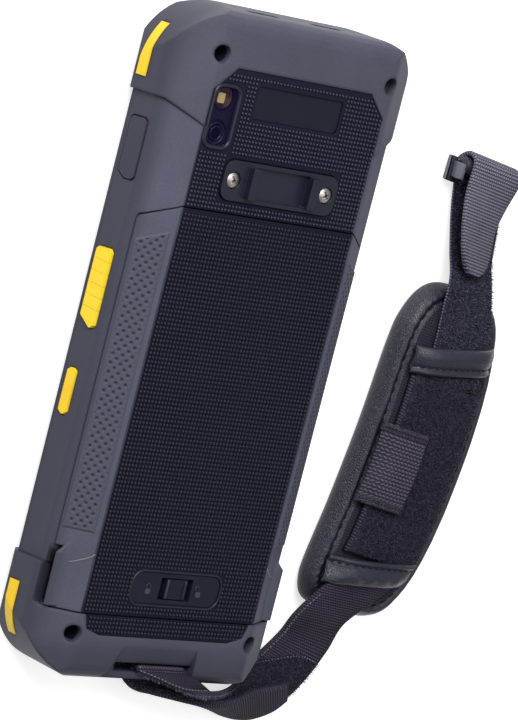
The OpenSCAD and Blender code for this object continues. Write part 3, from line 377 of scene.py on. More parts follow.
# Lighter navy of the lock signs, also a painted highlight on the slider's left rib.
GLYPH_AND_RIB_HIGHLIGHT = smooth_plastic("latch_glyph", (50, 52, 68), (66, 68, 84), 0.4)
# Lighter copy of the stud plastic for the upper panel, as painted light.
LIT_UPPER_STUDS = grained_plastic("upper_studs", (33, 35, 53), (62, 64, 86), 0.34, 0.05, 0.008, 0.5)
STUDS = grained_plastic("panel_studs", (27, 28, 43), (43, 44, 62), 0.34, 0.05, 0.008, 0.5)
YELLOW = smooth_plastic("yellow_insert", (246, 192, 12), (255, 220, 44), 0.36)
SCAN_YELLOW = ribbed_key("scan_yellow", (246, 194, 16), (255, 224, 48))
BLACK = grained_plastic("black_rubber", (12, 12, 14), (24, 24, 27), 0.62)
STEEL = metal("screw_steel", (176, 170, 166), (226, 222, 218))
DARK_STEEL = metal("dark_screw", (48, 48, 54), (84, 84, 92), 0.36)
GOLD = metal("contact_gold", (205, 158, 60), (250, 214, 130), 0.22)
# Light grey for the ridges of the flank creases: painted highlight on the ridges.
CREASE_HIGHLIGHT = smooth_plastic("flank_crease", (112, 113, 124), (136, 137, 148), 0.4)
FLASH_BOWL = metal("flash_bowl", (72, 50, 24), (132, 96, 48), 0.3)
FLASH_GLOW = smooth_plastic("flash_phosphor", (250, 206, 96), (255, 240, 190), 0.3)
SILVER = metal("frame_silver", (140, 142, 146), (190, 192, 196), 0.34)
BOARD = board_green("board_green")
CERAMIC = smooth_plastic("antenna_ceramic", (196, 184, 156), (224, 214, 190), 0.5)
CELL = smooth_plastic("cell_wrap", (48, 60, 92), (70, 84, 120), 0.3)
GLASS = screen_glass("cover_glass")
WINDOW_PANE = window_glass("window_pane")
LENS_GLASS = lens_glass("lens_glass")
LEATHER = leather("pad_leather", (12, 11, 23), (40, 38, 59), 0.34)
LINING = lining_cloth("pad_lining", (18, 16, 25), (60, 57, 72))
BAND_LEATHER = leather("band_leather", (13, 13, 26), (40, 40, 60), 0.36)
WEBBING = woven("webbing", (17, 14, 24), (88, 82, 101))
# Lighter, higher-contrast copy of the webbing for the upper strap: painted light and sheen.
LIT_UPPER_WEB = woven("upper_webbing", (32, 30, 40), (158, 154, 176))
LOOP_WEB = woven("loop_webbing", (22, 19, 29), (104, 99, 118), 1.0, 1.2)
HEM = thread("loop_hem", (30, 27, 36), (82, 77, 92))
PILE = pile("pile", (14, 12, 20), (82, 79, 101))
TUFT = thread("tuft", (19, 17, 26), (96, 93, 116))
UPPER_TUFT = thread("upper_tuft", (24, 23, 35), (124, 124, 150))
# Lighter copy of the tuft for hairs near the slot: painted light against the bumper's shade.
LIT_TAIL_TUFT = thread("tail_tuft", (30, 27, 38), (150, 146, 172))
THREAD = thread("stitch_thread", (10, 10, 14), (34, 34, 42))
PALE_THREAD = thread("pale_thread", (92, 92, 102), (142, 142, 152))

DRESS = (
    (SHELL, "rear_housing battery_case"), (BUMPER, "top_bumper bottom_bumper"), (YELLOW, "bumper_inserts side_key"),
    (WALL_GREY, "front_bezel port_flap volume_key power_key"), (NAVY, "label_plate latch_plate latch_slider"),
    (BRACKET_NAVY, "strap_bracket"), (SCAN_YELLOW, "scan_button"), (BLACK, "speaker battery_seal"),
    (SILVER, "port_connector scan_switch key_switch volume_switch power_switch vibration_motor mid_frame board_shield"),
    (GOLD, "bay_contacts battery_contacts"), (CERAMIC, "gnss_antenna"), (CELL, "battery_cells"),
    (GLASS, "touch_glass display_panel"), (BOARD, "main_board"),
)
for material, names in DRESS:
    for name in names.split():
        nodes[name].data.materials.clear()
        nodes[name].data.materials.append(material)


# Making pieces

def link(name, data):
    obj = bpy.data.objects.new(name, data)
    bpy.context.scene.collection.objects.link(obj)
    return obj


def plain_mesh(name, points, edges, faces):
    """Mesh from points in millimetres."""
    mesh = bpy.data.meshes.new(name)
    mesh.from_pydata([tuple(c * MM for c in p) for p in points], edges, faces)
    return mesh


def piece(name, points, faces, material, *where, **more):
    """New object from points in millimetres, riding on a body."""
    return settle(name, plain_mesh(name, points, [], faces), material, *where, **more)


def settle(name, mesh, material, body="housing", smooth=True, slot=None, replaces=()):
    """Gives a new object its finish and body and hides the nodes that it replaces. The slot is not used."""
    obj = link(name, mesh)
    for m in material if isinstance(material, list) else [material]:
        if m.name not in mesh.materials:
            mesh.materials.append(m)
    if smooth:
        mesh.polygons.foreach_set("use_smooth", [True] * len(mesh.polygons))
    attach(obj, body)
    if replaces:
        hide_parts(*replaces)
    return obj


def grow(name, points, tree, values, material, body="housing", edges=(), faces=(), replaces=()):
    """Runs a geometry tree over points, lines or faces in millimetres and keeps the result as a plain mesh."""
    seed = link(name + "_seed", plain_mesh(name + "_seed", points, edges, faces))
    modifier = seed.modifiers.new("grow", "NODES")
    modifier.node_group = tree
    for item in tree.interface.items_tree:
        if item.in_out == "INPUT" and item.name in values:
            modifier[item.identifier] = values[item.name]
    modifier[next(i.identifier for i in tree.interface.items_tree if i.name == "Finish")] = material
    bpy.context.view_layer.update()
    made = bpy.data.meshes.new_from_object(seed.evaluated_get(bpy.context.evaluated_depsgraph_get()))
    bpy.data.objects.remove(seed)
    made.name = name
    settle(name, made, material, body, False, None, replaces)


class Growth(Graph):
    """A geometry tree with named sizes that ends in realised instances with a finish."""
    def __init__(self, name, sizes):
        super().__init__(bpy.data.node_groups.new(name, "GeometryNodeTree"))
        make = self.tree.interface.new_socket
        make("Geometry", in_out="INPUT", socket_type="NodeSocketGeometry")
        for key, value in sizes.items():
            socket = make(key, in_out="INPUT", socket_type="NodeSocketFloat")
            socket.default_value = value
        make("Finish", in_out="INPUT", socket_type="NodeSocketMaterial")
        make("Geometry", in_out="OUTPUT", socket_type="NodeSocketGeometry")
        self.given = self.node("NodeGroupInput")

    def __getitem__(self, name):
        return Val(self, self.given.outputs[name])

    def vector(self, x, y, z):
        return self.out("ShaderNodeCombineXYZ", {0: x, 1: y, 2: z})

    def close(self, instances, smooth=True):
        real = self.out("GeometryNodeRealizeInstances", {0: instances})
        shaded = self.out("GeometryNodeSetShadeSmooth", {0: real, 2: smooth})
        done = self.out("GeometryNodeSetMaterial", {0: shaded, 2: self["Finish"]})
        self.node("NodeGroupOutput", {0: done})
        return self.tree


def stud_tree():
    """Small blunt studs on points."""
    g = Growth("studs", {"Base": 0.0005, "Top": 0.0003, "Height": 0.00025})
    cone = g.out("GeometryNodeMeshCone", {
        "Vertices": 6, "Radius Top": g["Top"], "Radius Bottom": g["Base"], "Depth": g["Height"]})
    return g.close(g.out("GeometryNodeInstanceOnPoints", {0: g["Geometry"], 2: cone}))


def stitch_tree():
    """Thread ends along a sewn line."""
    g = Growth("stitches", {"Pitch": 0.0022, "Length": 0.0016, "Thick": 0.00035})
    line = g.out("GeometryNodeMeshToCurve", {0: g["Geometry"]})
    points = g.node("GeometryNodeCurveToPoints", {0: line, "Length": g["Pitch"]}, mode="LENGTH")
    turn = g.out("FunctionNodeAlignRotationToVector", {2: Val(g, points.outputs["Tangent"])}, axis="X")
    bead = g.out("GeometryNodeMeshUVSphere", {"Segments": 8, "Rings": 6, "Radius": 0.5})
    shaped = g.out("GeometryNodeTransform", {0: bead, "Scale": g.vector(g["Length"], g["Thick"], g["Thick"])})
    return g.close(g.out("GeometryNodeInstanceOnPoints", {0: Val(g, points.outputs["Points"]), 2: shaped, 5: turn}))


def tuft_tree():
    """Short bent hairs standing on a cloth face."""
    g = Growth("tufts", {"Density": 2.0e6, "Length": 0.0006, "Thick": 0.00008, "Seed": 3.0})
    spread = g.node("GeometryNodeDistributePointsOnFaces", {
        0: g["Geometry"], "Density": g["Density"], "Seed": g["Seed"]})
    hair = g.out("GeometryNodeMeshCone", {"Vertices": 3, "Radius Top": g["Thick"] * 0.4, "Radius Bottom": g["Thick"],
        "Depth": g["Length"]})
    lean = g.out("FunctionNodeRandomValue", {0: (-0.9, -0.9, 0.0), 1: (0.9, 0.9, 6.28), "Seed": 7},
                 data_type="FLOAT_VECTOR")
    turn = g.out("FunctionNodeRotateRotation", {
        0: Val(g, spread.outputs["Rotation"]), 1: g.out("FunctionNodeEulerToRotation", {0: lean})},
        rotation_space="LOCAL")
    return g.close(g.out("GeometryNodeInstanceOnPoints", {
        0: Val(g, spread.outputs["Points"]), 2: hair, 5: turn}), False)


def dimple_tree():
    """Slightly raised field with round dimples in staggered rows, made flat and then laid on a flank."""
    g = Growth("dimples", {"Width": 0.0084, "Length": 0.0768, "Along": 0.0024, "Across": 0.0025, "Round": 0.00052,
                           "Deep": 0.00036, "Proud": 0.00034, "Slant": 0.0, "Side": 1.0})
    grid = g.out("GeometryNodeMeshGrid", {
        "Size X": g["Width"], "Size Y": g["Length"], "Vertices X": 43, "Vertices Y": 385})
    x, flat = g.parts(g.out("GeometryNodeInputPosition"))[:2]
    half = g["Width"] / 2
    share = flat / g["Length"] + 0.5
    y = flat - g["Slant"] * (x / half) * share
    across, along = x / g["Across"], y / g["Along"]

    def away(shift):
        a = across + shift
        b = along + shift
        dx = (a - a.round()) * g["Across"]
        dy = (b - b.round()) * g["Along"]
        return (dx * dx + dy * dy).root()
    near = away(0.0).low(away(0.5))
    bowl = (1 - (near / g["Round"]) ** 2.0).high(0.0)
    edge = (half - abs(x)).low(g["Length"] / 2 - abs(flat))
    within = edge.step(0.0005, 0.0009)
    rise = g["Proud"] * edge.step(0.0, 0.0005) - g["Deep"] * bowl * within
    slope = atan2(REAR - LEDGE, WALL - PANEL)
    mid = FLANK / 2
    out_x = (PANEL + mid * cos(slope)) * MM + x * cos(slope) + rise * sin(slope)
    out_z = (REAR - mid * sin(slope)) * MM - x * sin(slope) + rise * cos(slope)
    # Dimple depth, stored for the painted shade in the grip finish.
    marked = g.out("GeometryNodeStoreNamedAttribute", {0: grid, 2: "sunk", 3: bowl * within},
                   data_type="FLOAT", domain="POINT")
    laid = g.out("GeometryNodeSetPosition", {0: marked, 2: g.vector(out_x * g["Side"], y + GRIP_Y * MM, out_z)})
    return g.close(laid)


def screw_tree():
    """Pan-head screws with a cross recess on points."""
    g = Growth("screws", {"Radius": 0.002, "Height": 0.0011, "Cross": 0.0024, "Wide": 0.0006})
    head = g.out("GeometryNodeMeshCylinder", {"Vertices": 40, "Radius": g["Radius"], "Depth": g["Height"]})
    dome = g.out("GeometryNodeMeshUVSphere", {"Segments": 40, "Rings": 24, "Radius": g["Radius"] * 1.75})
    sunk = g.out("GeometryNodeTransform", {
        0: dome, "Translation": g.vector(0.0, 0.0, g["Height"] * 0.5 - g["Radius"] * 1.75)})
    crowned = g.node("GeometryNodeMeshBoolean", operation="INTERSECT")
    g.tree.links.new(head.socket, crowned.inputs[1])
    g.tree.links.new(sunk.socket, crowned.inputs[1])
    cut = g.node("GeometryNodeMeshBoolean", {0: Val(g, crowned.outputs[0])}, operation="DIFFERENCE")
    for long, wide in ((g["Cross"], g["Wide"]), (g["Wide"], g["Cross"])):
        bar = g.out("GeometryNodeMeshCube", {"Size": g.vector(long, wide, g["Height"])})
        up = g.out("GeometryNodeTransform", {
            0: bar, "Translation": g.vector(0.0, 0.0, g["Height"] * 0.42), "Rotation": (0, 0, 0.5)})
        g.tree.links.new(up.socket, cut.inputs[1])
    return g.close(g.out("GeometryNodeInstanceOnPoints", {0: g["Geometry"], 2: Val(g, cut.outputs[0])}), False)


STUD, STITCH, TUFTS, DIMPLE, SCREW = stud_tree(), stitch_tree(), tuft_tree(), dimple_tree(), screw_tree()


# Rear panel: rows of studs round the window, plates and bracket

def inside(x, y, box, room):
    return abs(x - box[0]) < box[2] / 2 + room and abs(y - box[1]) < box[3] / 2 + room


def stud_points(y_low, y_high, keep):
    pitch = 1.12
    rows = [y_low + pitch * (j + 0.5) for j in range(int((y_high - y_low) / pitch))]
    return [(pitch * i, y, REAR + 0.1) for y in rows for i in range(-25, 26) if keep(pitch * i, y)]


def upper_keep(x, y):
    corner = abs(x) + y < PANEL + PANEL_TOP - PANEL_CUT - 0.7
    wells = hypot(abs(x) - UPPER_WELL[0], y - UPPER_WELL[1]) > 3
    clear = not (inside(x, y, WINDOW, 0.7) or inside(x, y, PLATE, 0.7) or inside(x, y, BRACKET, 0.9))
    return corner and wells and clear


def foot_keep(x, y):
    return abs(x) < PANEL - 3.2 - max(0, (SEAM_BOTTOM - 4.0 - y) * 2.6)


SIZES = {"Base": 0.00046, "Top": 0.0002, "Height": 0.0003}
grow("upper_studs", stud_points(SEAM_TOP + 0.5, PANEL_TOP - 0.4, upper_keep), STUD, SIZES, LIT_UPPER_STUDS)
grow("foot_studs", stud_points(SEAM_BOTTOM - 5.0, SEAM_BOTTOM - 0.5, foot_keep), STUD, SIZES, STUDS)
grow("battery_studs", stud_points(SEAM_BOTTOM + 0.5, SEAM_TOP - 0.5, lambda x, y: not inside(x, y, LATCH, 0.8)),
     STUD, SIZES, STUDS, "battery")

# Dimpled grips on the battery flanks, with painted shade in their dimples
for label, side, deep, wide, material in (("left_grip", -1.0, 0.00036, 0.00052, GRIP),
                                          ("right_grip", 1.0, 0.00016, 0.00062, FAR_GRIP)):
    grow(label, [(0, 0, 0)], DIMPLE, {"Side": side, "Slant": 0.0018, "Deep": deep, "Round": wide}, material, "battery")

# Screws
grow("bracket_screw_heads", [(x, BRACKET[1], REAR + 0.45) for x in (-BRACKET_SCREW, BRACKET_SCREW)], SCREW, {}, STEEL,
     replaces=("bracket_screws",))
grow("case_screw_heads", [(x * s, y, WELL_SCREW) for x, y in (UPPER_WELL, LOWER_WELL) for s in (-1, 1)],
     SCREW, {"Radius": 0.0019, "Height": 0.0013}, DARK_STEEL, replaces=("case_screws",))


def turned(profile, centre, n=48):
    """Points and faces of a round form from radius and height pairs."""
    angles = [2 * pi * i / n for i in range(n)]
    return skin([[(centre[0] + r * cos(a), centre[1] + r * sin(a), z) for a in angles] for r, z in profile])


def rounded_box(centre, w, l, r, z, n=8):
    """Ring of points round a rectangle with rounded corners."""
    ring = []
    for k, (sx, sy) in enumerate(((1, 1), (-1, 1), (-1, -1), (1, -1))):
        for i in range(n + 1):
            a = pi / 2 * (k + i / n)
            ring.append((centre[0] + sx * (w / 2 - r) + r * cos(a),
                         centre[1] + sy * (l / 2 - r) + r * sin(a), z))
    return ring


def inset(box, d, z):
    """Outline of a plate on the rear panel, a distance inside its edge."""
    return rounded_box(box, box[2] - 2 * d, box[3] - 2 * d, 3.0 - d, REAR + z)


def skin(rings, caps=True):
    """Faces over rings of equal length."""
    n, m = len(rings[0]), len(rings)
    faces = [(k * n + i, k * n + (i + 1) % n, (k + 1) * n + (i + 1) % n, (k + 1) * n + i)
             for k in range(m - 1) for i in range(n)]
    if caps:
        faces.append(tuple(range(n - 1, -1, -1)))
        faces.append(tuple((m - 1) * n + i for i in range(n)))
    return [tuple(p) for r in rings for p in r], faces


# Raised rim round the camera window, its pane and the dark floor behind
rim = ((0, -0.9), (0, 0.1), (0.12, 0.34), (0.4, 0.48), (0.7, 0.46), (0.95, 0.3), (1.1, 0.0), (1.15, -0.5))
piece("window_rim", *skin([inset(WINDOW, d, z) for d, z in rim], False), BRACKET_NAVY, slot="window",
      replaces=("camera_window",))
piece("window_glass", *skin([inset(WINDOW, 1.1, z) for z in (-0.5, 0.02)]), WINDOW_PANE, smooth=False)
piece("window_floor", *skin([inset(WINDOW, 0.2, z) for z in (-2.6, -2.3)]), BLACK, smooth=False)

# Camera lens and flash reflector behind the window
piece("lens_barrel", *turned([(3.0, 15.5), (3.0, 17.3), (2.7, 17.5), (2.4, 17.5), (2.2, 17.2), (1.8, 16.6)], LENS),
      BLACK, replaces=("camera_module",))
piece("lens_dome", *turned([(1.7, 16.2), (1.7, 16.6), (1.4, 16.9), (0.9, 17.1), (0.3, 17.17)], LENS), LENS_GLASS)
for label, r in (("lens_ring", 2.7), ("lens_inner_ring", 1.75)):
    profile = [(r + d, z) for d, z in ((0.18, 17.3), (0.18, 17.6), (0, 17.7), (-0.18, 17.6), (-0.18, 17.3))]
    piece(label, *turned(profile, LENS), DARK_STEEL)
piece("flash_bowl", *turned([(2.8, 15.9), (2.8, 17.35), (2.6, 17.4), (2.3, 17.3), (1.2, 16.7)], FLASH), FLASH_BOWL,
      replaces=("flash_led",))
chip = [rounded_box((FLASH[0] - 0.7, FLASH[1] - 0.1), 2.3, 2.6, 0.3, z, 2) for z in (16.5, 17.3)]
piece("flash_chip", *skin(chip), FLASH_GLOW, smooth=False)


def bead(name, line, r, material, body="housing", n=6):
    """Thin raised line through points."""
    p = [np.array(q, float) for q in line]
    rings = []
    for i, q in enumerate(p):
        run = p[min(len(p) - 1, i + 1)] - p[max(0, i - 1)]
        out = np.cross(run, (0, 0, 1))
        out = out / np.linalg.norm(out)
        up = np.cross(out, run / np.linalg.norm(run))
        rings.append([q + r * (out * cos(a) + up * sin(a)) for a in (2 * pi * k / n for k in range(n))])
    piece(name, *skin(rings), material, body)


# Creases across the battery flanks and fine lines along the panel's edges: thin ridges whose lighter plastic is a
# painted highlight

def on_flank(side, x, y):
    return (side * x, y, REAR - (x - PANEL) * (REAR - LEDGE) / (WALL - PANEL) + 0.02)


for side, label in ((-1, "left_crease"), (1, "right_crease")):
    crease = [on_flank(side, 29.2 + 5.6 * t, -53.8 - 3.4 * t ** 0.7) for t in (0.0, 0.1, 0.25, 0.4, 0.6, 0.8, 1.0)]
    bead(label, crease, 0.17, CREASE_HIGHLIGHT, "battery")
for side, label in ((-1, "left_panel_edge"), (1, "right_panel_edge")):
    edge = [(side * (PANEL + 0.05), y, REAR - 0.08) for y in np.linspace(SEAM_BOTTOM + 0.4, SEAM_TOP - 0.4, 12)]
    bead(label, edge, 0.15, EDGE_HIGHLIGHT, "battery")

# Rim round the latch plate, two plain lock signs on it and the slider's ribs. The left rib's lighter plastic is a
# painted highlight along the slider's left edge.
rim = ((-0.75, -0.1), (-0.65, 0.1), (-0.4, 0.17), (-0.2, 0.1), (-0.15, -0.2))
piece("latch_rim", *skin([inset(LATCH, d, z) for d, z in rim], False), BRACKET_NAVY, "battery")
for label, x, turn in (("locked_sign", -9.3, 0.0), ("open_sign", 7.7, 0.7)):
    body = [rounded_box((x, LATCH[1] - 0.9), 1.7, 1.5, 0.3, z, 2) for z in (SIGN_Z - 0.16, SIGN_Z + 0.1)]
    piece(label + "_body", *skin(body), GLYPH_AND_RIB_HIGHLIGHT, "battery", smooth=False)
    arc = [(0.6 * cos(a) + 0.6, 0.6 * sin(a) + 0.7) for a in np.linspace(pi, 0, 9)]
    arc = [(0, 0)] + arc + [(1.2, 0.5 if turn else 0)]
    c, s = cos(turn), sin(turn)
    shackle = [(x - 0.6 + u * c - v * s, LATCH[1] - 0.2 + u * s + v * c, SIGN_Z) for u, v in arc]
    bead(label + "_shackle", shackle, 0.13, GLYPH_AND_RIB_HIGHLIGHT, "battery")
for label, x, material in (("slider_left_rib", -3.1, GLYPH_AND_RIB_HIGHLIGHT), ("slider_right_rib", 2.6, BRACKET_NAVY)):
    rib = [(x, LATCH[1] + y, SIGN_Z + 0.12 * (abs(y) < 2.3)) for y in (-2.5, -2.2, -1, 0, 1, 2.2, 2.5)]
    bead(label, rib, 0.34, material, "latch")


# Hand strap

def on_axis(u, v, z):
    """Point beside the pad's long axis."""
    c, s = cos(PAD_TURN), sin(PAD_TURN)
    u = u + PAD_BOW * max(0, 1 - ((v + 3) / 36) ** 2)
    return np.array([PAD_X + u * c - v * s, PAD_Y + u * s + v * c, z])


def pad_face(u, v):
    return PAD_EDGE + PAD_CROWN * max(0, 1 - abs(2 * u / PAD_W) ** 2) * max(0, 1 - abs(2 * v / PAD_L) ** 4)


def pad_ring(a, d):
    """Point of the pad's outline at an angle, a distance inside it. Its outer side is a little fuller."""
    c, s = cos(a), sin(a)
    bend = 7.0 if c < 0 and s < 0 else 3.8
    u = (PAD_W / 2 - d) * copysign(abs(c) ** (2 / bend), c)
    v = (PAD_L / 2 - d) * copysign(abs(s) ** (2 / bend), s)
    return u + 1.9 * (2 * max(u, 0) / PAD_W) ** 2 * max(0, 1 - (v / 40) ** 2), v


def hand_pad():
    n = 180
    sides = [(0, 3.4), (0.35, 2.2), (0.9, 1.2), (1.7, 0.45), (2.6, 0.1), (3.5, 0.15), (4.4, 0.5)]
    tops = [(1.0, -1.15), (1.5, -0.5), (2.05, -0.05), (2.6, 0.1), (3.05, -0.1), (3.5, -0.55), (PAD_SEAM, -0.95),
            (4.35, -0.6), (4.9, -0.3), (6.2, -0.2), (8.4, 0), (10.5, 0), (14.5, 0), (18.5, 0)]
    rings = []
    for z, d in sides:
        rings.append([on_axis(*pad_ring(2 * pi * i / n, d), PAD_FLOOR + z) for i in range(n)])
    for d, up in tops:
        ring = []
        for i in range(n):
            a = 2 * pi * i / n
            u, v = pad_ring(a, d)
            pucker = 0.16 * sin(i * 2 * pi / 4.1) * exp(-((d - 3.1) / 0.9) ** 2)
            wrinkle = 0.13 * sin(31 * a + 4 * sin(5 * a)) * exp(-((d - 6.2) / 1.5) ** 2)
            ring.append(on_axis(u, v, PAD_FLOOR + pad_face(u, v) + up + pucker + wrinkle))
        rings.append(ring)
    obj = piece("leather_pad", *skin(rings), [LEATHER, LINING], slot="leather", replaces=("hand_pad",))
    for k, face in enumerate(obj.data.polygons):
        lining = k >= n * (len(sides) + 8) and len(face.vertices) == 4 or k == len(obj.data.polygons) - 1
        face.material_index = int(lining)
    soft = obj.modifiers.new("soft", "SUBSURF")
    soft.levels = soft.render_levels = 1


hand_pad()


def wear_uv(obj, coords):
    """Gives every corner the flat place of its point, in metres."""
    layer = obj.data.uv_layers.new(name="flat")
    index = np.zeros(len(obj.data.loops), dtype=int)
    obj.data.loops.foreach_get("vertex_index", index)
    layer.data.foreach_set("uv", (np.array(coords)[index] * MM).ravel())


def outward(obj):
    """Turns all faces of a closed piece outwards."""
    work = bmesh.new()
    work.from_mesh(obj.data)
    bmesh.ops.recalc_face_normals(work, faces=work.faces)
    work.to_mesh(obj.data)
    work.free()


def shares(span, n):
    """Even places along a span, with both ends."""
    return [span[0] + (span[1] - span[0]) * i / n for i in range(n + 1)]


def laid_sheet(name, us, vs, height, t, material, step=0.6, rim=0.7, slot=None, replaces=(), drift=lambda u: 0):
    """Thick sheet over the pad between two corners, with rounded rims. Returns the height of its upper face."""
    nu, nv = (max(4, round((s[1] - s[0]) / step)) for s in (us, vs))

    def upper(u, v):
        d = min(u - us[0], us[1] - u, v - vs[0], vs[1] - v)
        return height(u, v) + t * (1 - 0.55 * max(0, 1 - d / rim) ** 2)
    line = shares(us, nu)
    rings, flat = [], []
    for v in shares(vs, nv):
        rings.append([on_axis(u, v + drift(u), PAD_FLOOR + height(u, v)) for u in line[::-1]]
                     + [on_axis(u, v + drift(u), PAD_FLOOR + upper(u, v)) for u in line])
        flat += [(u, v) for u in line[::-1] + line]
    points, faces = skin(rings, False)
    n, last = 2 * (nu + 1), nv * 2 * (nu + 1)
    faces += [(i, i + 1, n - 2 - i, n - 1 - i) for i in range(nu)]
    faces += [(last + n - 1 - i, last + n - 2 - i, last + i + 1, last + i) for i in range(nu)]
    obj = piece(name, points, faces, material, slot=slot, replaces=replaces)
    outward(obj)
    wear_uv(obj, flat)
    return upper


def stitched(name, points, pitch, length, thick, material):
    """Row of stitches through points."""
    grow(name, points, STITCH, {"Pitch": pitch * MM, "Length": length * MM, "Thick": thick * MM}, material,
         edges=[(i, i + 1) for i in range(len(points) - 1)])


def sewn(name, line, height, pitch=2.2, length=1.5, thick=0.42, drift=lambda u: 0):
    """Row of stitches along a line on the pad, sunk a little in the surface."""
    points = [on_axis(u, v + drift(u), PAD_FLOOR + height(u, v) + 0.04) for u, v in line]
    stitched(name, points, pitch, length, thick, THREAD)


def straight(us, v):
    """Line across the pad."""
    return [(u, v) for u in shares(us, 40)]


def dip(x, middle, width, deep):
    return -deep * exp(-((x - middle) / width) ** 2)


# Pile panel with its woven edges

def pile_base(u, v):
    return pad_face(u, v) + 0.4


panel_top = laid_sheet("pile_panel", (-13.7, 13), (-30, 21), pile_base, 1.5, PILE, slot="loop_pile",
                       replaces=("loop_panel",))
for label, us in (("left_selvage", (-13.9, -12.8)), ("right_selvage", (12.1, 13.2))):
    laid_sheet(label, us, (-29.8, 20.8), lambda u, v: pile_base(u, v) + 0.75, 0.8, WEBBING, 0.35, 0.4)


def patch(us, vs, height, step=1.4):
    """Points and faces of a thin grid over the pad, for hairs to stand on."""
    nu, nv = round((us[1] - us[0]) / step), round((vs[1] - vs[0]) / step)
    points = [on_axis(u, v, PAD_FLOOR + height(u, v)) for v in shares(vs, nv) for u in shares(us, nu)]
    faces = [(j * (nu + 1) + i, j * (nu + 1) + i + 1, (j + 1) * (nu + 1) + i + 1, (j + 1) * (nu + 1) + i)
             for j in range(nv) for i in range(nu)]
    return points, faces


def band_drift(u):
    """The upper band runs a little aslant."""
    return 0.21 * u + 2.73


laid_sheet("pile_panel_head", (-12.9, 12.9), (16.5, 22.5), lambda u, v: pile_base(u, v + band_drift(u)) + 0.06, 1.5,
           PILE, drift=band_drift)
tuft_points, tuft_faces = patch((-11.7, 11.7), (-29.7, 20.7), lambda u, v: panel_top(u, v) + 0.1)
grow("panel_tufts", tuft_points, TUFTS, {"Density": 7.0e6, "Length": 0.0006, "Thick": 0.00007}, TUFT, faces=tuft_faces)


# Leather bands that hold the webbing

def soft_max(a, b, k):
    return 0.5 * (a + b + hypot(a - b, k))


def bridge(u, v, drift, mid, lean, span, low, high):
    """Underside of a band that lies on the pad and is lifted by the webbing under it."""
    beside = abs(u - mid - lean * (v - span[0])) - WEB_W / 2 - 1.5
    drop = 0.5 * (beside + hypot(beside, 3.0)) - 0.35
    held = low + (high - low) * (v - span[0]) / (span[1] - span[0]) - drop
    return soft_max(pad_face(u, v + drift) + 0.2, held, 1.0)


def low_drift(u):
    """The lower band slants too."""
    return 0.143 * u + 0.96


def top_height(u, v):
    soft = bridge(u, v, band_drift(u), -0.6, 0, TOP_BAND, PAD_EDGE + PAD_CROWN + 2.2, PAD_EDGE + PAD_CROWN + 1.7)
    return soft + dip(v, TOP_SEAM, 0.5, 0.55) + dip(v, 22.2, 0.5, -0.3) + dip(v, 26.6, 1.9, -0.7)


def bottom_height(u, v):
    soft = bridge(u, v, low_drift(u), -3.45, 0.66, LOW_BAND, PAD_EDGE + 4.76, PAD_EDGE + PAD_CROWN + 1.7)
    crease = 0.16 * sin(1.3 * u + 0.9 * v) * exp(-((v + 36.2) / 1.6) ** 2)
    return soft + dip(v, LOW_SEAM, 0.5, 0.55) + dip(v, -31.3, 0.5, -0.3) + dip(v, -35.6, 1.8, -0.7) + crease


band_top = laid_sheet("top_leather_band", (-15, 13.6), TOP_BAND, top_height, 1.0, BAND_LEATHER, 0.35, 0.9,
                      "leather", ("top_band",), band_drift)
sewn("top_band_seam", straight((-14.3, 13), TOP_SEAM), band_top, drift=band_drift)
band_low = laid_sheet("bottom_leather_band", (-16.5, 11.5), LOW_BAND, bottom_height, 1.0, BAND_LEATHER, 0.35, 0.9,
                      "leather", ("bottom_band",), low_drift)
sewn("bottom_band_seam", straight((-15.5, 10.8), LOW_SEAM), band_low, drift=low_drift)


# Woven pen loop sewn over the pile panel

def loop_height(u, v):
    rise = max(0, 1 - ((v + 5) / 9.5) ** 2)
    sunk = 1.2 * min(1, max(0, (-13.8 - u) / 2.4))
    return pad_face(u, v) + 2.35 - sunk + 0.9 * rise ** 0.5 + dip(v, 4.6, 0.5, 0.25) + dip(v, -14.6, 0.5, 0.25)


laid_sheet("pen_webbing", (-17.4, -4.2), (-15.8, 6.2), loop_height, 1.1, LOOP_WEB, 0.4, 0.5, "webbing", ("pen_loop",))
for label, low in (("top", 4.1), ("bottom", -16.1)):
    hem_top = laid_sheet("loop_hem_" + label, (-17.6, -4.0), (low, low + 2.4), lambda u, v: loop_height(u, v) + 0.7,
                         0.9, HEM, 0.35, 0.6)
    sewn("loop_seam_" + label, straight((-17.1, -4.5), low + 1.2), hem_top, 0.95, 0.7, 0.36)

# Seam round the pad, in the channel beside its rolled border
seam_line = [pad_ring(2 * pi * i / 240, PAD_SEAM) for i in range(241)]
sewn("pad_seam", seam_line, lambda u, v: pad_face(u, v) - 0.8, 3.0, 1.9, 0.5)


# Webbing

def spline(points, n):
    """Smooth line through points."""
    p = [np.array(q, float) for q in points]
    made = []
    for i in range(len(p) - 1):
        a, b, c, d = p[max(0, i - 1)], p[i], p[i + 1], p[min(len(p) - 1, i + 2)]
        for k in range(n):
            t = k / n
            made.append(0.5 * (2 * b + (c - a) * t + (2 * a - 5 * b + 4 * c - d) * t ** 2
                               + (3 * b - a - 3 * c + d) * t ** 3))
    return made + [p[-1]]


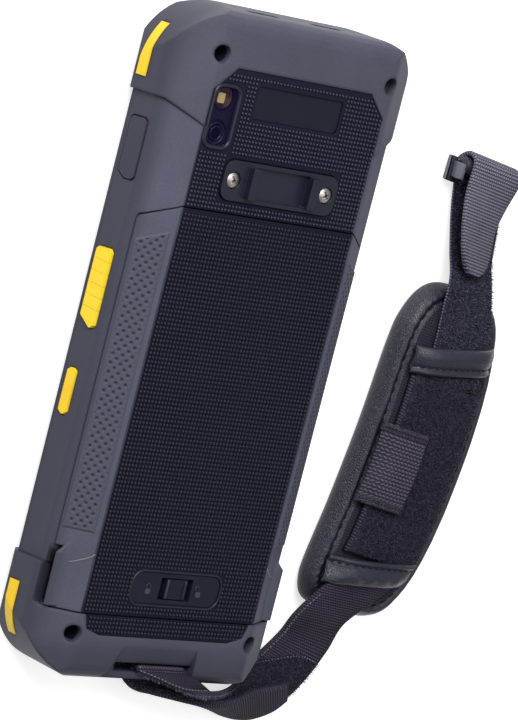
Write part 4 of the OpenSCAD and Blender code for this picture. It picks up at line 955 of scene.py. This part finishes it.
def ribbon(name, rights, lefts, side, fuzzy, web, stands_for, n=12, m=10):
    """Strip of webbing between two edges. fuzzy(u, s) says where one side of it carries pile.

    Returns the faces with pile, the lengths along the strip and a function for points on its faces.
    """
    a, b = spline(rights, n), spline(lefts, n)
    last = len(a) - 1
    run = [a[min(last, i + 1)] + b[min(last, i + 1)] - a[max(0, i - 1)] - b[max(0, i - 1)] for i in range(last + 1)]
    middle = [(p + q) / 2 for p, q in zip(a, b)]
    length = np.concatenate([[0], np.cumsum([np.linalg.norm(middle[i + 1] - middle[i]) for i in range(last)])])
    thick = [0.45] + [1.0] * (m - 1) + [0.45]
    across = [0.0, 0.035] + [k / m for k in range(2, m - 1)] + [0.965, 1.0]
    rings, flat, ups = [], [], []
    for i in range(last + 1):
        up = np.cross(run[i], a[i] - b[i])
        up = up / np.linalg.norm(up) * WEB_T / 2
        wide = np.linalg.norm(b[i] - a[i])
        upper = [a[i] + (b[i] - a[i]) * t + up * h for t, h in zip(across, thick)]
        lower = [a[i] + (b[i] - a[i]) * t - up * h for t, h in zip(across, thick)]
        rings.append(upper + lower[::-1])
        flat += [(t * wide, length[i]) for t in across + across[::-1]]
        ups.append(up)
    points, faces = skin(rings)
    obj = piece(name, points, faces, [web, PILE], slot="webbing", replaces=(stands_for,))
    w = 2 * (m + 1)
    hairy = []
    for k, face in enumerate(obj.data.polygons):
        row, col = divmod(k, w)
        there, u = (col < m, col) if side == 1 else (m < col < w - 1, w - 1 - col)
        if row < last and there and fuzzy(u / m, length[row]):
            face.material_index = 1
            hairy.append([points[i] for i in face.vertices])
    wear_uv(obj, flat)
    outward(obj)

    def on_face(i, t, side):
        return a[i] + (b[i] - a[i]) * t + ups[i] * side * 1.06
    return hairy, length, on_face


def hairs(name, quads, density, material=TUFT):
    """Longer hairs on the pile faces of a strip."""
    points = [p for q in quads for p in q]
    faces = [tuple(range(4 * i, 4 * i + 4)) for i in range(len(quads))]
    grow(name, points, TUFTS, {"Density": density, "Length": 0.0009, "Thick": 0.00007, "Seed": 5.0}, material,
         faces=faces)


def past_end(*points):
    """Points by their distance past the device's bottom end."""
    return [(x, -HALF_L - d, z) for x, d, z in points]


def past_corner(*points):
    """Points by their distance past the device's bottom right corner."""
    return past_end(*((HALF_W + x, d, z) for x, d, z in points))


def lower_route():
    """Edges of the lower strip: from the pad down to the device, round its bar and back as the tail."""
    bar_y, bar_ry, bar_z, bar_rz = -HALF_L + 1.3, 1.3, REAR - 5.5, 2.6
    r = 0.7 + WEB_T / 2
    over, under = bar_z + bar_rz + r, bar_z - bar_rz - r
    behind = -HALF_L - bar_y - bar_ry - r
    turn = [(behind - 0.15, over - 0.6), (behind, over - 2), (behind, under + 2), (behind - 0.15, under + 0.6)]
    lie = PAD_FLOOR + PAD_EDGE
    inner = [on_axis(-10, -33, lie + 4.3), on_axis(-15.8, -41.6, lie + 2.8), on_axis(-18.6, -50, PAD_EDGE)]
    inner += past_corner((12.2, -12.8, 3.6), (9, -7.4, 2.2), (5.4, -4.2, 2.6), (0.4, -1.4, 5.5), (-6.7, 0.6, 11.5),
                         (-15.2, 1.2, over))
    inner += past_end((17.5, 0.8, over + 3.2), (10.5, 0.4, over + 3.3), (3.5, -1.2, over + 1.8), (-4, -3, over),
                      *((-4.6, d, z) for d, z in turn),
                      (-5, -1.8, under), (0.4, 3.3, under + 1), (5.3, 3.6, 12.5), (10.6, 3.9, 15), (16.7, 4.5, 16.3))
    inner += past_corner((-17.4, 5.1, 16.3), (-9.4, 4.5, 14.5), (-1.1, 2.8, 12), (8.1, 1.6, 9.5), (15.6, 1, 7.8))
    outer = [on_axis(9.7, -33, lie + 4.3), on_axis(4.6, -40.9, lie + 3), on_axis(0.6, -49.6, PAD_EDGE - 0.4)]
    outer += past_corner((31.8, -8, 2.6), (28, 0, 1.7), (22.4, 6.4, 1.6), (14.3, 10.4, 1.6), (2.8, 10.4, 1.8),
                         (-6.7, 8.2, 3))
    outer += past_end((30.6, 5.3, 8.5), (24.1, 2.3, 14), (16.6, -1.4, over + 0.3), (11.2, -3, over),
                      *((11, d, z) for d, z in turn),
                      (11, -1.8, under), (15.9, 2.1, under), (22.9, 5.1, 7.6), (28.9, 7.1, 5.8))
    outer += past_corner((-7.2, 9.1, 4.2), (-1.2, 11.3, 3), (5.3, 12.7, 2.2), (10.9, 12.7, 2), (17.2, 10.2, 2.6),
                         (20.6, 6.5, 3.6))
    return inner, outer


def pile_start(t):
    """Length along the lower strip where its pile begins, at a share t across it."""
    return 31.5 + 14 * (1 - t) ** 3


def upper_route():
    """Edges of the upper strip: out of the top band, round the hook's bar and back to a rounded end."""
    fold_r = HOOK_R + 0.5 + WEB_T / 2
    low, high, turned_by = FOLD_Z - fold_r, FOLD_Z + fold_r, fold_r * 0.71
    lie = PAD_FLOOR + PAD_EDGE + 0.4 + WEB_T / 2
    line = [(-0.6, 21.6, lie + PAD_CROWN * 0.96), (-0.4, 31, lie + PAD_CROWN * 0.82),
            (-0.4, 40, lie + PAD_CROWN * 0.46), (-1, 48.5, lie - 0.2), (-1.6, 56, lie - 3.6), (-3.2, 65, low + 0.4),
            (-5.2, FOLD_V - 7, low), (FOLD_U, FOLD_V, low), (FOLD_U, FOLD_V + turned_by, FOLD_Z - turned_by),
            (FOLD_U, FOLD_V + fold_r, FOLD_Z), (FOLD_U, FOLD_V + turned_by, FOLD_Z + turned_by),
            (FOLD_U, FOLD_V, high), (-8, FOLD_V - 7, high), (-7.8, 64.5, lie + 1.4), (-5.8, 57.5, lie + 1.8),
            (-5, 53.4, lie + 2.4), (-4.9, 51.2, lie + 2.8)]
    rights, lefts = [], []
    for i, (u, v, z) in enumerate(line):
        half = WEB_W / 2 * (1 if i < 14 else (0.96, 0.7, 0.34)[i - 14])
        tilt = 0.4 if i > 13 else 0.32 if i > 12 else 0.16 if i > 11 else 0.02 if i > 4 else 0.12 if i > 2 else 0
        rights.append(on_axis(u - half, v, z + tilt * half))
        lefts.append(on_axis(u + half, v, z - tilt * half))
    return rights, lefts


lower_hairy, lower_run, lower_face = ribbon("lower_strap", *lower_route(), -1, lambda u, s: s > pile_start(u), WEBBING,
                                            "lower_webbing")
upper_hairy = ribbon("upper_strap", *upper_route(), 1, lambda u, s: s < 58, LIT_UPPER_WEB, "upper_webbing")[0]
# Hairs near the slot lie in the bumper's shade and take the lighter tuft copy, as painted light.
near_slot, further = [], []
for quad in lower_hairy:
    (near_slot if np.mean(quad, axis=0)[0] < HALF_W - 12 else further).append(quad)
hairs("lower_strap_hairs", further, 5.0e6)
hairs("tail_hairs", near_slot, 6.0e6, LIT_TAIL_TUFT)
hairs("upper_strap_hairs", upper_hairy, 5.0e6, UPPER_TUFT)


STRAP_SEAMS = {
    "edge_seam": [lower_face(i, 0.05, -1) for i, s in enumerate(lower_run) if 12 < s < 84],
    "fold_seam": [lower_face(i, 0.035, 1) for i, s in enumerate(lower_run) if 77 < s < 101],
    "pile_seam": [lower_face(int(np.searchsorted(lower_run, pile_start(k / 60))), k / 60, -1) for k in range(2, 59)],
}
for label, points in STRAP_SEAMS.items():
    stitched(label, points, 1.1, 0.8, 0.34, PALE_THREAD)


def hook_block(name, us, vs, zs, material, replaces=()):
    """Block of the strap's hook with eased edges, leaning a little as the fold does."""
    middle, wide, long = ((us[0] + us[1]) / 2, (vs[0] + vs[1]) / 2), us[1] - us[0], vs[1] - vs[0]
    rings = []
    for height, d in ((zs[0], 0.15), (zs[0] + 0.15, 0), (zs[1] - 0.15, 0), (zs[1], 0.15)):
        outline = rounded_box(middle, wide - 2 * d, long - 2 * d, 0.3, height, 4)
        rings.append([on_axis(u - 0.12 * (v - HOOK_V), v, z) for u, v, z in outline])
    piece(name, *skin(rings), material, "hook", slot="hook", replaces=replaces)


# The plate, foot and bar take the painted-shade copy, the lip and boss the painted-light copy.
hook_block("hook_plate", (-20.1, -17.7), (72.7, 79.5), (2.15, 3.4), HOOK_SHADED, ("strap_hook",))
hook_block("hook_foot", (-18.4, -16.5), (72.7, 74.7), (2.15, 3.38), HOOK_SHADED)
hook_block("hook_lip", (-20.45, -20.0), (72.8, 79.4), (2.3, 3.48), HOOK_LIT)
hook_block("hook_boss", (-19.1, -17.3), (74.0, 78.3), (3.3, 6.9), HOOK_LIT)
angles = np.linspace(0, 2 * pi, 32, endpoint=False)
hook_bar = [[on_axis(u, FOLD_V + r * cos(a), FOLD_Z + r * sin(a)) for a in angles]
            for u, r in ((-17.9, 1.9), (-17.6, 2.15), (1.4, 2.15), (1.7, 1.9))]
piece("hook_bar", *skin(hook_bar), HOOK_SHADED, "hook", slot="hook")


# Camera, light and floor

camera = link("camera", bpy.data.cameras.new("camera"))
right, down = Vector((0.7409, 0.2456, 0.6251)), Vector((0.0958, -0.9599, 0.2636))
ahead = Vector((0.6647, -0.1355, -0.7347))
turn = Matrix((right, -down, -ahead)).transposed().to_4x4()
camera.matrix_world = Matrix.Translation(Vector((-659.1, 136.8, 755.9)) * MM) @ turn
camera.data.lens = 196.4
camera.data.sensor_width = 36
camera.data.clip_start = 0.01
bpy.context.scene.camera = camera


def lamp(name, place, aim, size, power):
    light = bpy.data.lights.new(name, "AREA")
    light.shape = "RECTANGLE"
    light.size, light.size_y = size
    light.energy = power
    obj = link(name, light)
    obj.location = place
    obj.rotation_euler = (Vector(aim) - Vector(place)).to_track_quat("-Z", "Y").to_euler()


lamp("key", (-0.5, 0.72, 0.72), (0, 0, 0), (0.6, 0.8), 12.5)
lamp("top", (0.1, 0.3, 1.1), (0.02, 0, 0), (1.0, 1.0), 3.5)
lamp("fill", (0.7, -0.5, 0.6), (0.03, 0, 0), (0.7, 0.7), 0.5)

world = bpy.data.worlds.new("studio")
bpy.context.scene.world = world
world.use_nodes = True
sky = Graph(world.node_tree)
sky.tree.nodes.clear()
sky.node("ShaderNodeOutputWorld", {0: sky.out("ShaderNodeBackground", {0: (1, 1, 1, 1), 1: 0.24})})


def floor():
    """Pale matt floor that glows only where the camera sees it, straight or mirrored."""
    f = Finish("studio_floor")
    seen = f.out("ShaderNodeLightPath", output="Is Camera Ray")
    for ray in ("Is Glossy Ray", "Is Transmission Ray"):
        seen = seen.high(f.out("ShaderNodeLightPath", output=ray))
    matt = f.out("ShaderNodeBsdfDiffuse", {0: (0.82, 0.82, 0.83, 1)})
    glow = f.out("ShaderNodeEmission", {0: (1, 1, 1, 1), 1: 0.68 * seen})
    corners = [(-3000, -3000, -0.1), (3000, -3000, -0.1), (3000, 3000, -0.1), (-3000, 3000, -0.1)]
    mesh = plain_mesh("studio_floor", corners, [], [(0, 1, 2, 3)])
    mesh.materials.append(f.wear(f.out("ShaderNodeAddShader", {0: matt, 1: glow})))
    obj = link("studio_floor", mesh)


floor()
bpy.context.scene.view_settings.view_transform = "Standard"
